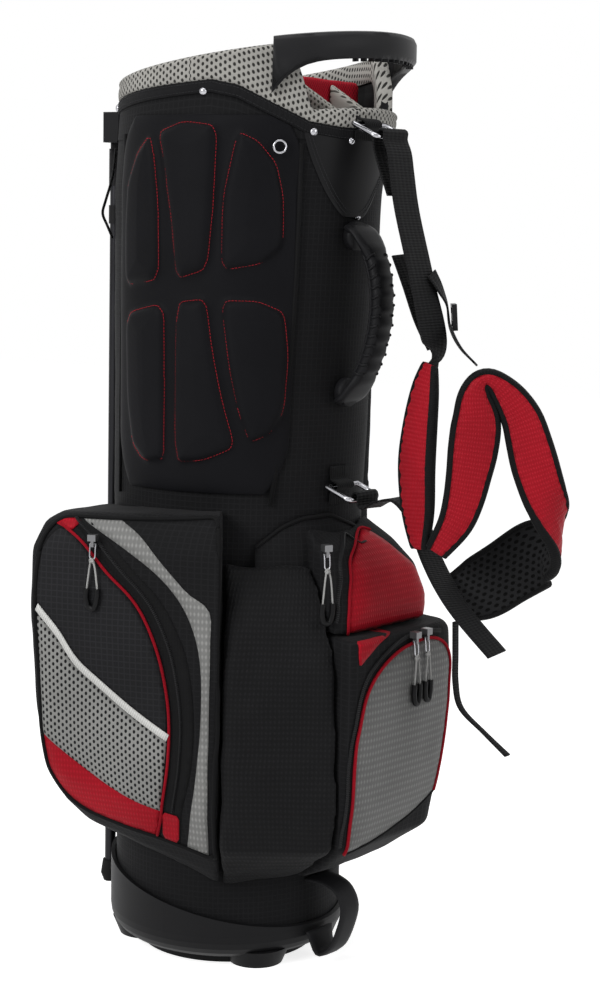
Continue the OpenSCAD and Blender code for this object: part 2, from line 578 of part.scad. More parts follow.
// A D-ring: straight bar on the X axis, bow in -Y... turned by the lean about the bar
module d_ring(bar, lean) {
  half = (ring_w + ring_wire) / 2;
  r = 5;
  translate(bar) rotate([lean, 0, 0]) {
    rod([-half, 0, 0], [half, 0, 0], ring_wire);
    for (s = [-1, 1]) {
      translate([s * half, 0, 0]) sphere(d = ring_wire);
      rod([s * half, 0, 0], [s * half, ring_d - r, 0], ring_wire);
      translate([s * (half - r), ring_d - r, 0]) rotate(s > 0 ? 0 : 90)
        rotate_extrude(angle = 90) translate([r, 0]) circle(d = ring_wire);
    }
    rod([r - half, ring_d, 0], [half - r, ring_d, 0], ring_wire);
  }
}
module upper_ring() color("#d9d9dc") at_spine() d_ring(upper_bar, ring_lean_upper);
module lower_ring() color("#d9d9dc") at_spine() d_ring(lower_bar, ring_lean_lower);

// ---- Straps ----

function ring_end(bar, lean) = bar + ring_d * [0, cos(lean), sin(lean)];
upper_end = ring_end(upper_bar, ring_lean_upper);
lower_end = ring_end(lower_bar, ring_lean_lower);
x_axis = [1, 0, 0];

// Webbing looped through a ring: its inner run lies against the bow, its outer run is free to let the ring swing
bow_seat = ring_wire / 2 + gap + webbing_t / 2;
bow_side = 6.8;
function bow_loop(c, lean, tail) = [for (q = [[-bow_seat, -tail], [-bow_seat, bow_side - 2.4], [2 - bow_seat, bow_side],
  [1.5, bow_side], [3.5, bow_side - 2.4], [3.9, 0]]) c + q[0] * [0, cos(lean), sin(lean)] + q[1] * [0, -sin(lean), cos(lean)]];
module web(path, w) strip(path, all(path, x_axis), all(path, w), all(path, webbing_t));
module upper_webbing() color("#161617") at_spine() {
  web(concat([upper_end + [0, 10, -52]], bow_loop(upper_end, ring_lean_upper, 10),
    curve([upper_end + [0, 9, -14], [0, 199, 756], [0, 206, 722], [0, 224, 663], [0, 242, 589.5]], 4)), webbing_w);
}
module lower_webbing() color("#161617") at_spine() {
  web(concat(bow_loop(lower_end, ring_lean_lower, 6), curve([lower_end + [0, 7, -8], [-4, 183, 457], [-8, 200, 460],
    [-14, 215, 444], [-8, 238, 408], [4, 276, 372], [0, 318, 334]], 3)), webbing_w - 5);
}

// The pads hang in a frame turned to face outwards: right along the pad's face, near towards its front
face_a = 40;
function facing(right, near, z) =
  [near * cos(face_a) - right * sin(face_a), right * cos(face_a) + near * sin(face_a), z];
function swell(path, low, full, power) =
  let (n = len(path) - 1) [for (i = [0 : n]) mix(low, full, pow(sin(i / n * 180), power))];
module shoulder_pad_left() color("#b0142c") at_spine() {
  path = curve([facing(180, 164, 588.5), facing(175, 162, 550), facing(170, 164, 500), facing(172, 168, 450),
    facing(173, 170, 422)], 4);
  strip(path, all(path, facing(0, 1, 0)), swell(path, 20, pad_w - 10, 0.7), swell(path, 5, pad_t, 0.4), soft_corners);
}
// The right pad arches over its narrow top, then curls back under with its mesh side out.
// Each stop holds its place in the facing frame, its width and where its outer edge points.
module shoulder_pad_right() color("#c11a33") at_spine() {
  stops = [[[188, 186, 422], 22, [-1, 0, 0.3]], [[204, 190, 448], 30, [-1, 0, 0.3]], [[211, 191, 470], 34, [-1, 0, 0.2]],
    [[215, 192, 493], 36, [-1, 0, 0.1]], [[218, 192, 515], 40, [-1, 0, 0.1]], [[220, 193, 540], 41, [-1, 0, 0.3]],
    [[218, 193, 564], 34, [-1, 0, 0.4]], [[219, 193, 580], 24, [-0.7, 0, 1]], [[232, 193, 575], 30, [0.6, 0, 1]],
    [[250, 193, 559], 36, [1, 0, 0.8]], [[263, 193, 541], 38, [1, 0, 0.5]], [[269, 193, 523], 41, [1, 0, 0.35]], [[275, 192, 503], 44, [1, 0, 0.3]],
    [[284, 190, 480], 42, [1, -0.1, 0.3]], [[294, 184, 458], 44, [0.8, -0.6, 0.3]], [[301, 175, 436], 48, [0.2, -1, 0.2]],
    [[300, 163, 422], 54, [-0.1, -0.8, 0.6]], [[284, 154, 418], 64, [-0.1, -0.2, 1]], [[258, 146, 399], 62, [-0.2, 0, 1]],
    [[232, 141, 381], 60, [-0.25, 0, 1]], [[206, 137, 370], 42, [-0.1, 0, 1]]];
  path = curve([for (q = stops) facing(q[0][0], q[0][1], q[0][2])], 2);
  n = len(path) - 1;
  side = [for (i = [0 : n]) let (k = min(floor(i / 2), len(stops) - 2), e = mix(stops[k][2], stops[k + 1][2], i / 2 - k))
    unit(facing(e[0], e[1], e[2]))];
  width = [for (i = [0 : n]) let (k = min(floor(i / 2), len(stops) - 2)) mix(stops[k][1], stops[k + 1][1], i / 2 - k)];
  strip(path, side, width, swell(path, 5, pad_t, 0.4), soft_corners);
}
// Thin strap from the buckle to the right pad, and the tie from the grip to the webbing's end
module pad_straps() color("#161617") at_spine() {
  path = curve([[-12, 225.9, 668], [-19, 230.4, 655], [-27, 233, 640], [-26, 238, 620], facing(206, 180, 604), facing(218, 192, 591.2)], 3);
  side = [for (i = [0 : len(path) - 1]) unit(mix(x_axis, facing(0, 1, 0), smooth(i / 5)))];
  strip(path, side, all(path, thin_w - 4), all(path, webbing_t));
  web(curve([[0, 200, 684], [-2, 212, 656], [-4, 224, 626], [-8, 236, 602]], 3), webbing_w - 8);
}
module strap_buckle() color("#1b1b1d") at_spine() translate([-30.2, 236.8, 641]) rotate([4, 0, 40]) difference() {
  cube([thin_w + 2, 4.5, 24], center = true);
  for (z = [-6, 6]) translate([0, 0, z]) cube([thin_w - 6, 8, 5], center = true);
}
// Thin strap that hangs beside the ball pocket
module ball_strap() color("#161617") {
  hanging_strap();
  leg_strap();
}
module hanging_strap() at_spine() {
  path = curve([[-29, 251, 350.2], [-29, 252, 320], [-29, 253, 293], [-29, 260, 270], [-29, 286, 252], [-29, 313, 235]], 3);
  strip(path, all(path, x_axis), all(path, 9), all(path, webbing_t));
}

// Short strap below the leg bracket, with a small slide in its slack
module leg_strap() {
  side = unit([half_x(740) * sin(60), half_y(740) * cos(60), 0]);
  path = curve([on_tube(-62, 778, 1.8), on_tube(-62, 752, 3), on_tube(-62, 728, 9), on_tube(-62, 716, 12),
    on_tube(-62, 706, 8), on_tube(-62, 692, 2)], 3);
  strip(path, all(path, side), all(path, 12), all(path, 1.8));
}

module rivets() color("#c9c9cc") {
  for (s = [[9, 10], [62, 10], [118, 10], [171, 10], [-60, 10], [-120, 10]])
    let (p = on_tube(s[0], band_z(s[0]) - gap - s[1] / 2 - 1, 2.9))
    translate(p) rotate([0, 90, atan2(half_x(p[2]) * sin(s[0]), half_y(p[2]) * cos(s[0]))])
      intersection() { sphere(d = 9); cylinder(d = 8, h = 3); }
}
eyelet_a = 38.5;
eyelet_z = 778;
module eyelet() color("#c9c9cc") let (
  u = (eyelet_z - hip_pad_low) / (hip_pad_high - hip_pad_low), v = (eyelet_a - pad_left) / (pad_right - pad_left),
  p = on_tube(eyelet_a, eyelet_z, slab_seat + pillow(u, v, hip_pad_t, 2.5)))
  translate(p) rotate([0, 90, atan2(half_x(p[2]) * sin(eyelet_a), half_y(p[2]) * cos(eyelet_a))])
    rotate_extrude() translate([5.5, 1.2]) circle(d = 2);

// ---- Stand ----

rod_y = -126.5;
lean_y = 9;
lean_x = 8;

// Right-hand leg: the tube hangs down -Z from the pivot; the pins lie across the direction of its swing
at_pivot = [pivot_x, -pivot_y, pivot_z];
function leg_point(d) = at_pivot - d * unit([lean_x, lean_y, leg_length]);
module at_leg() translate(at_pivot) rotate([-atan(lean_y / leg_length), atan(lean_x / leg_length), 0]) children();
module at_pin(d) translate(leg_point(d)) rotate([0, 0, splay]) children();
module on_left() mirror([1, 0, 0]) children();

module leg_tube() at_leg() translate([0, 0, -leg_length]) difference() {
  cylinder(d = leg_d, h = leg_length - 22);
  translate([0, 0, -1]) cylinder(d = leg_d - 2 * leg_wall, h = leg_length - 20);
}
// Upper fitting: sleeve on the tube, hub round the pivot pin, collar with the link pin
hub_d = 15;
hub_w = 10;
link_side = hub_w / 2 + 4.3;
module knuckle() difference() {
  union() {
    at_leg() translate([0, 0, -52]) cylinder(d = leg_d + 2.4, h = 35.5);
    at_pin(0) {
      rotate([0, 90, 0]) translate([0, 0, -hub_w / 2]) cylinder(d = hub_d, h = hub_w);
      translate([-hub_w / 2, -hub_w / 2, -18]) cube([hub_w, hub_w, 18]);
    }
    at_pin(link_drop) rotate([0, -90, 0]) {
      cylinder(d = 10, h = link_side - gap);
      cylinder(d = link_pin_d, h = link_side + link_t + 1);
    }
    at_leg() translate([0, 0, -link_drop - 9]) cylinder(d = leg_d + 2.4, h = 18);
  }
  at_leg() translate([0, 0, -link_drop - 20]) cylinder(d = leg_d + 2 * fit, h = link_drop - 2);
  at_pin(0) rotate([0, 90, 0]) translate([0, 0, -hub_w]) cylinder(d = pin_d + 2 * fit, h = 2 * hub_w);
}
module leg_left() color("#2a2a2c") on_left() leg_tube();
module leg_right() color("#2a2a2c") leg_tube();
module knuckle_left() color("#161618") on_left() knuckle();
module knuckle_right() color("#161618") knuckle();
module leg_foot() at_leg() translate([0, 0, -leg_length - 8]) difference() {
  union() {
    cylinder(d1 = 13, d2 = 19, h = 8);
    translate([0, 0, 8]) cylinder(d1 = 19, d2 = 15, h = 14);
  }
  translate([0, 0, 7.9]) cylinder(d = leg_d + 2 * fit, h = 20);
}
module leg_foot_left() color("#2b2b2b") on_left() leg_foot();
module leg_foot_right() color("#2b2b2b") leg_foot();

// Bracket riveted to the collar side: a back plate with two ears and a pin for each leg
ear_t = 4;
module leg_bracket() color("#131315") {
  ear = hub_w / 2 + 0.4;
  difference() {
    translate([-44, -pivot_y - 2, pivot_z - 11]) cube([88, 18, 29]);
    tube_volume(gap + 2.8, 700, 860);
    for (s = [-1, 1]) translate([s * pivot_x, -pivot_y, pivot_z]) rotate([0, 0, s * splay])
      translate([-ear, -14, -60]) cube([2 * ear, 24, 100]);
  }
  for (s = [-1, 1]) translate([s * pivot_x, -pivot_y, pivot_z]) rotate([0, 0, s * splay]) rotate([0, 90, 0]) {
    for (e = [ear, -ear - ear_t]) translate([0, 0, e]) cylinder(d = hub_d, h = ear_t);
    translate([0, 0, -ear - ear_t - 0.8]) cylinder(d = pin_d, h = 2 * (ear + ear_t + 0.8));
  }
}

// Crosshead on top of the rod, with a slanted pin for each link
link_t = 3;
cross_z = leg_point(link_drop)[2] - link_length;
cross_w = 12;
module crosshead() color("#1a1a1c") difference() {
  union() {
    translate([-cross_w / 2, rod_y - 15, cross_z - 9]) cube([cross_w, 19, 18]);
    for (k = [0, 1]) mirror([k, 0, 0]) at_pin(link_drop) translate([0, 0, -link_length]) rotate([0, -90, 0])
      translate([0, 0, link_side - 1]) cylinder(d = link_pin_d, h = 14);
  }
  translate([0, rod_y, cross_z - 10]) cylinder(d = rod_d + 2 * fit, h = 14);
}
module push_rod() color("#9a9a9d") rod([0, rod_y, toe_top + 2 * gap], [0, rod_y, cross_z + 3.9], rod_d);

// Link: round eye above, slotted eye below
slot_up = 5;
slot_w = link_pin_d + 2.2;
module link() at_pin(link_drop) rotate([0, -90, 0]) translate([0, 0, link_side]) difference() {
  union() {
    cylinder(d = 10, h = link_t);
    translate([-link_length, -4, 0]) cube([link_length, 8, link_t]);
    translate([-link_length, -5, 0]) cube([slot_up, 10, link_t]);
    for (k = [-1, slot_up]) translate([k - link_length, 0, 0]) cylinder(d = 10, h = link_t);
  }
  translate([0, 0, -1]) cylinder(d = link_pin_d + 2 * fit, h = link_t + 2);
  for (k = [-0.5, slot_up]) translate([k - link_length, 0, -1]) cylinder(d = slot_w, h = link_t + 2);
  translate([-0.5 - link_length, -slot_w / 2, -1]) cube([slot_up + 0.5, slot_w, link_t + 2]);
}
module link_left() color("#8f8f92") on_left() link();
module link_right() color("#8f8f92") link();

guide_levels = [180, 330, 470];
module rod_guides() color("#161618") for (z = guide_levels) difference() {
  translate([-8, rod_y - 5, z - 9]) cube([16, 14, 18]);
  tube_volume(gap, 100, 700);
  translate([0, rod_y, z - 20]) cylinder(d = rod_d + 0.2, h = 40);
}

// Foot plate hinged under the cup; its toe carries the rod
module foot_plate() color("#1d1d1f") {
  difference() {
    union() {
      translate([-plate_w / 2 + 1, -plate_reach, 1.5]) cube([plate_w - 2, plate_reach + hinge_y, 5]);
      rod([-plate_w / 2 + 1, hinge_y, hinge_z], [plate_w / 2 - 1, hinge_y, hinge_z], 9);
    }
    rod([-plate_w, hinge_y, hinge_z], [plate_w, hinge_y, hinge_z], hinge_d + 2 * fit);
  }
  translate([-toe_w / 2, rod_y - 5, 1.5]) cube([toe_w, 34, toe_top - 1.5]);
}

// ---- Zip pulls ----

pull_pin = 2.2;
// Cord pull: a pin through the slider's tongue, two cords and a rubber end
module puller(at, drop) translate(at[0]) rotate(at[1]) {
  rod([-3.4, 0, 0], [3.4, 0, 0], pull_pin);
  for (s = [-1, 1]) rod([s * 2.8, 0, 0], [s * 2, 2, 12 - drop], 1.7);
  translate([0, 2, -drop]) cylinder(d = 7, h = 14);
}
module slider(at) translate(at[0]) rotate(at[1]) difference() {
  union() {
    translate([-4, -4, 3]) cube([8, 8, 6]);
    translate([-1.5, -2.5, -2.5]) cube([3, 5, 7]);
  }
  rod([-3, 0, 0], [3, 0, 0], pull_pin + 2 * fit);
}
apparel_slide = [[180, -38, 416], -78];
accessory_slide = [[88, 156, 413], -32];
ball_slides = [[[-46, 206, 326], 0], [[-29, 206, 325], 0]];
module zip_sliders() color("#6d6d70") {
  slider(apparel_slide);
  slider(accessory_slide);
  at_spine() for (at = ball_slides) slider(at);
}
module apparel_pull() color("#bdbdbd") puller(apparel_slide, 62);
module ball_pull_left() color("#bdbdbd") at_spine() puller(ball_slides[0], 62);
module ball_pull_right() color("#bdbdbd") at_spine() puller(ball_slides[1], 62);
module accessory_pull() color("#bdbdbd") puller(accessory_slide, 66);

base_cup();
base_handle();
bag_tube();
stays();
collar_ring();
collar_band();
mesh_cuff();
arch_handle();
front_bar();
rear_bar();
rail_left();
rail_right();
mid_bar();
leg_side_bar();
front_sheet();
rear_sheet();
sheet_left();
sheet_right();
mid_sheet();
leg_side_sheet();
hip_pad();
apparel_pocket();
side_pocket();
ball_pocket();
accessory_pocket();
garment_pocket();
elastic_band();
spine_patch();
spine_grip();
ring_tabs();
upper_ring();
lower_ring();
shoulder_pad_left();
shoulder_pad_right();
upper_webbing();
lower_webbing();
pad_straps();
strap_buckle();
ball_strap();
rivets();
eyelet();
leg_bracket();
rod_guides();
leg_left();
leg_right();
knuckle_left();
knuckle_right();
leg_foot_left();
leg_foot_right();
hinge_pin();
push_rod();
crosshead();
link_left();
link_right();
foot_plate();
zip_sliders();
apparel_pull();
ball_pull_left();
ball_pull_right();
accessory_pull();
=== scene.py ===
import json
import math
import bpy
import bmesh
import numpy as np
from mathutils import Matrix, Vector, geometry, noise
from mathutils.bvhtree import BVHTree


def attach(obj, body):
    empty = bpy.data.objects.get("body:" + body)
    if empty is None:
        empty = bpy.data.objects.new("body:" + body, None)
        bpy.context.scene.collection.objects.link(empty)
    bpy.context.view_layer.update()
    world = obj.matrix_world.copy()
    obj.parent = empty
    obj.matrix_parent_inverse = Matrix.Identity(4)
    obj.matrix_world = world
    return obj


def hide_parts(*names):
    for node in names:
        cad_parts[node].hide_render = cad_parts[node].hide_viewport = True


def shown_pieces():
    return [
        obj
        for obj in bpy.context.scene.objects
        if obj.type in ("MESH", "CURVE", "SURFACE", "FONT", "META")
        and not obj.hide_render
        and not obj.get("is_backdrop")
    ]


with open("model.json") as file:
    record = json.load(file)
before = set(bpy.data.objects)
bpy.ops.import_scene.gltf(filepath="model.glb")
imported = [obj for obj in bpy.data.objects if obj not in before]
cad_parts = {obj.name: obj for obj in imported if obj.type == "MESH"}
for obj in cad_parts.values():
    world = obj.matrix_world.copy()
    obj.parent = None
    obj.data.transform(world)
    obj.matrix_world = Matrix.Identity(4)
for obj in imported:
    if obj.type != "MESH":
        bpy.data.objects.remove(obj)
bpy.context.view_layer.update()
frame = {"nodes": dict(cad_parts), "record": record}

# ---- Camera ----
# A long lens at about hip height, turned to the bag's spine side. The image points are places in the
# photograph's frame: the outline's four sides and features that set the camera or carry a fitting.
image_width, image_height = 600, 1000
long_side = max(image_width, image_height)
image_points = {
    "left_edge": (33, 614),
    "right_edge": (568, 505),
    "top_edge": (350, 32),
    "bottom_edge": (300, 971),
    "band_rivet_pad": (203, 92),
    "band_rivet_patch": (314, 132),
    "patch_rivet_left": (352, 141),
    "patch_rivet_right": (384, 140),
    "patch_rivet_low": (352, 220),
    "eyelet": (281, 147),
    "buckle": (454, 316),
    "apparel_slider": (92, 545),
    "accessory_slider": (334, 556),
    "ball_slider": (412, 638),
}
view_azimuth = math.radians(120)
view_pitch = math.radians(8)
view_roll = math.radians(1)
camera_distance = 2.0
camera_aside = 0.066
camera_height = 0.722
sensor_width = 36
lens = 74.16
shift_x = shift_y = 0

back = Vector((math.sin(view_azimuth), -math.cos(view_azimuth), 0))
aside = Vector((math.cos(view_azimuth), math.sin(view_azimuth), 0))
camera_place = back * camera_distance + aside * camera_aside + Vector((0, 0, camera_height))
look = -back * math.cos(view_pitch) - Vector((0, 0, math.sin(view_pitch)))
level_up = -back * math.sin(view_pitch) + Vector((0, 0, math.cos(view_pitch)))
view_right = aside * math.cos(view_roll) + level_up * math.sin(view_roll)
view_up = level_up * math.cos(view_roll) - aside * math.sin(view_roll)

camera = bpy.data.objects.new("camera", bpy.data.cameras.new("camera"))
camera.data.sensor_fit = "AUTO"
camera.data.sensor_width = sensor_width
camera.data.lens = lens
camera.data.shift_x, camera.data.shift_y = shift_x, shift_y
camera.matrix_world = Matrix.Translation(camera_place) @ Matrix(
    (view_right, view_up, -look)).transposed().to_4x4()
bpy.context.collection.objects.link(camera)
bpy.context.scene.camera = camera


def image_place(point, carrier):
    """Where the ray through an image point meets the carrier's faces, or its nearest place on a miss."""
    x, y = point
    ray = (view_right * (x - image_width / 2 + shift_x * long_side)
           + view_up * (image_height / 2 - y + shift_y * long_side)
           + look * (long_side * lens / sensor_width)).normalized()
    place, normal, _, _ = carrier.ray_cast(camera_place, ray)
    if place is None:
        reach = camera_distance
        for _ in range(4):
            place, normal, _, _ = carrier.find_nearest(camera_place + ray * reach)
            reach = (place - camera_place).dot(ray)
    return place, normal


# ---- Floor and light ----
# A plain pale floor under a large soft box on either side and a weak one from behind, as for a
# catalogue picture. The white round the bag comes from what camera and glossy rays see, not from lamps.
floor_side = 12
floor_colour = (0.8, 0.8, 0.8, 1)
floor_glow = 0.8
sky_dim, sky_seen = 0.26, 1.0
bag_middle = Vector((0, 0, 0.45))


def make_node(tree, kind, inputs=None, **settings):
    """A node with its settings; an input takes a value or is linked from another node's output."""
    made = tree.nodes.new(kind)
    for name, value in settings.items():
        setattr(made, name, value)
    for name, value in (inputs or {}).items():
        if isinstance(value, bpy.types.NodeSocket):
            tree.links.new(value, made.inputs[name])
        else:
            made.inputs[name].default_value = value
    return made


def seen_directly(tree):
    """1 for a ray from the camera, a mirror or glass, else 0."""
    path = make_node(tree, "ShaderNodeLightPath")
    seen = path.outputs["Is Camera Ray"]
    for other in ("Is Glossy Ray", "Is Transmission Ray"):
        seen = make_node(tree, "ShaderNodeMath", {0: seen, 1: path.outputs[other]}, operation="MAXIMUM").outputs[0]
    return seen


floor_mesh = bpy.data.meshes.new("floor")
floor_mesh.from_pydata([(x * floor_side / 2, y * floor_side / 2, 0) for x, y in ((-1, -1), (1, -1), (1, 1), (-1, 1))],
                       [], [(0, 1, 2, 3)])
floor = bpy.data.objects.new("floor", floor_mesh)
bpy.context.collection.objects.link(floor)
floor_paint = bpy.data.materials.new("floor_paint")
floor_paint.use_nodes = True
floor_tree = floor_paint.node_tree
floor_tree.nodes.clear()
floor_matt = make_node(floor_tree, "ShaderNodeBsdfDiffuse", {"Color": floor_colour})
floor_white = make_node(floor_tree, "ShaderNodeEmission", {"Strength": make_node(
    floor_tree, "ShaderNodeMath", {0: seen_directly(floor_tree), 1: floor_glow}, operation="MULTIPLY").outputs[0]})
floor_sum = make_node(floor_tree, "ShaderNodeAddShader", {0: floor_matt.outputs[0], 1: floor_white.outputs[0]})
make_node(floor_tree, "ShaderNodeOutputMaterial", {"Surface": floor_sum.outputs[0]})
floor_mesh.materials.append(floor_paint)
floor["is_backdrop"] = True

world = bpy.data.worlds.new("studio")
world.use_nodes = True
bpy.context.scene.world = world
sky = world.node_tree.nodes["Background"]
sky_strength = make_node(world.node_tree, "ShaderNodeMapRange", {
    0: seen_directly(world.node_tree), 3: sky_dim, 4: sky_seen})
world.node_tree.links.new(sky_strength.outputs[0], sky.inputs["Strength"])
sky.inputs["Color"].default_value = (1, 1, 1, 1)


def soft_box(name, place, size, power):
    """A square lamp that faces the middle of the bag."""
    lamp = bpy.data.lights.new(name, "AREA")
    lamp.size = size
    lamp.energy = power
    box = bpy.data.objects.new(name, lamp)
    box.location = place
    box.rotation_euler = (bag_middle - box.location).to_track_quat("-Z", "Y").to_euler()
    bpy.context.collection.objects.link(box)


soft_box("soft_box_left", back * 1.7 - aside * 1.5 + Vector((0, 0, 1.5)), 1.1, 34)
soft_box("soft_box_right", back * 1.2 + aside * 1.8 + Vector((0, 0, 1.2)), 1.2, 12)
soft_box("soft_box_top", back * 0.3 + Vector((0, 0, 2.4)), 1.4, 16)
bpy.context.scene.view_settings.view_transform = "Standard"

# ---- Moulded base ----
# The cup, its grab handle and the foot plate are injection moulded in black plastic with a fine spark
# texture. The cup is pressed over the tube's foot and the handle is moulded on its spine side.


def new_finish(name, colour, rough, **sockets):
    """A material with its plain values on the shader, and its node tree."""
    finish = bpy.data.materials.new(name)
    finish.use_nodes = True
    shader = finish.node_tree.nodes["Principled BSDF"]
    shader.inputs["Base Color"].default_value = (*colour, 1)
    shader.inputs["Roughness"].default_value = rough
    for socket, value in sockets.items():
        shader.inputs[socket.replace("_", " ")].default_value = value
    return finish, finish.node_tree, shader


def moulded(name, colour, rough, grain=0.0011, depth=0.00016, scuffs_and_painted_reflection=0.1, **sockets):
    """Moulded plastic or rubber: a fine grain, slow changes of tone and a little uneven gloss."""
    finish, tree, shader = new_finish(name, colour, rough, Specular_IOR_Level=0.1, **sockets)
    place = make_node(tree, "ShaderNodeTexCoord").outputs["Object"]
    fine = make_node(tree, "ShaderNodeTexNoise", {"Vector": place, "Scale": 1 / grain, "Detail": 3.0})
    slow = make_node(tree, "ShaderNodeTexNoise", {"Vector": place, "Scale": 9.0, "Detail": 4.0})
    # Slow tone changes: scuffs on plastic and rubber, and painted reflection on the chrome.
    tone = make_node(tree, "ShaderNodeMapRange", {
        0: slow.outputs["Fac"], 1: 0.3, 2: 0.7, 3: 1 - scuffs_and_painted_reflection, 4: 1 + 2 * scuffs_and_painted_reflection})
    tint = make_node(tree, "ShaderNodeVectorMath", {0: colour, 3: tone.outputs[0]}, operation="SCALE")
    tree.links.new(tint.outputs[0], shader.inputs["Base Color"])
    gloss = make_node(tree, "ShaderNodeMapRange", {
        0: slow.outputs["Fac"], 1: 0.3, 2: 0.7, 3: rough - 0.07, 4: rough + 0.07})
    tree.links.new(gloss.outputs[0], shader.inputs["Roughness"])
    bump = make_node(tree, "ShaderNodeBump", {"Strength": 0.6, "Distance": depth, "Height": fine.outputs["Fac"]})
    tree.links.new(bump.outputs[0], shader.inputs["Normal"])
    return finish


def finish_nodes(finish, *nodes):
    """Gives CAD nodes' own slots a finish; their meshes stay as they are."""
    for node in nodes:
        for slot in frame["nodes"][node].material_slots:
            slot.material = finish


base_plastic = moulded("base_plastic", (0.0084, 0.0084, 0.0091), 0.46)
finish_nodes(base_plastic, "base_cup", "foot_plate")
body_of_node = {n: body for body, nodes in frame["record"]["behaviour"]["bodies"].items() for n in nodes}


def new_piece(name, shape, body="bag", node=None):
    """An object for a finished mesh, on its body and the CAD node that it stands for."""
    piece = bpy.data.objects.new(name, shape)
    bpy.context.collection.objects.link(piece)
    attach(piece, body)
    if node:
        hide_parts(node)
    return piece


def merged_mesh(node):
    """A copy of a CAD node's mesh, in its place and with its faces joined."""
    source = frame["nodes"][node]
    form = bmesh.new()
    form.from_mesh(source.data)
    form.transform(source.matrix_world)
    bmesh.ops.remove_doubles(form, verts=form.verts, dist=1e-6)
    shape = bpy.data.meshes.new(node + "_form")
    form.to_mesh(shape)
    form.free()
    return shape


def smooth_copy(node, finish, crease=35, bevel=0):
    """A merged copy of a CAD node with smooth shading, which stands for it on the same body."""
    shape = merged_mesh(node)
    shape.materials.append(finish)
    for face in shape.polygons:
        face.use_smooth = True
        face.material_index = 0
    shape.set_sharp_from_angle(angle=math.radians(crease))
    piece = new_piece(node + "_dressed", shape, body_of_node[node], node)
    if bevel:
        soft = piece.modifiers.new("edges", "BEVEL")
        soft.width = bevel
        soft.segments = 2
        soft.limit_method = "ANGLE"
        soft.angle_limit = math.radians(crease)
    return piece


grab_rubber = moulded("grab_rubber", (0.011, 0.011, 0.012), 0.52)
smooth_copy("base_handle", grab_rubber, crease=50)

# ---- Tube ----
# The body is a padded tube of black ripstop polyester with a sewn seam at each edge of its panels.
# It stands in the cup, swells over it and widens towards the collar, with slight slack folds.
body_levels = (0.096, 0.166, 0.45, 0.836)
body_half_widths = (0.1127, 0.113, 0.112, 0.1175)
body_half_depths = (0.1127, 0.119, 0.125, 0.135)
lean_levels = (0.096, 0.166, 0.45, 0.74, 0.836)
lean_shifts = (0, 0.003, 0.006, 0.013, 0.024)
tube_low, tube_high = 0.0305, 0.788
tube_wall = 0.004
wrap_radius = 0.12


def on_tube(degrees, height, out=0.0):
    """Places at an angle from the hip pad's side and a height, a little out from the tube's surface."""
    turn, height, out = np.broadcast_arrays(np.radians(degrees), height, out)
    wide = np.interp(height, body_levels, body_half_widths) + out
    deep = np.interp(height, body_levels, body_half_depths) + out
    middle = np.interp(height, lean_levels, lean_shifts)
    return np.stack([wide * np.cos(turn), middle + deep * np.sin(turn), height], -1)


def pairs(across, up):
    """Two coordinates, one each way of a grid, as a grid of pairs."""
    return np.stack(np.broadcast_arrays(across, up), -1)


def tube_lay(degrees, height):
    """The weave's place in metres, round the tube and up it."""
    return pairs(np.radians(degrees) * wrap_radius, height)


def slack(places, size, depth):
    """How far cloth sinks at each place: slow, seeded folds, always inwards."""
    flat = places.reshape(-1, 3) / size
    drop = np.array([noise.noise(Vector(p)) + 0.5 * noise.noise(Vector(p * 2.1)) for p in flat])
    return -depth * np.clip(0.5 + 0.7 * drop, 0, 1).reshape(places.shape[:-1])


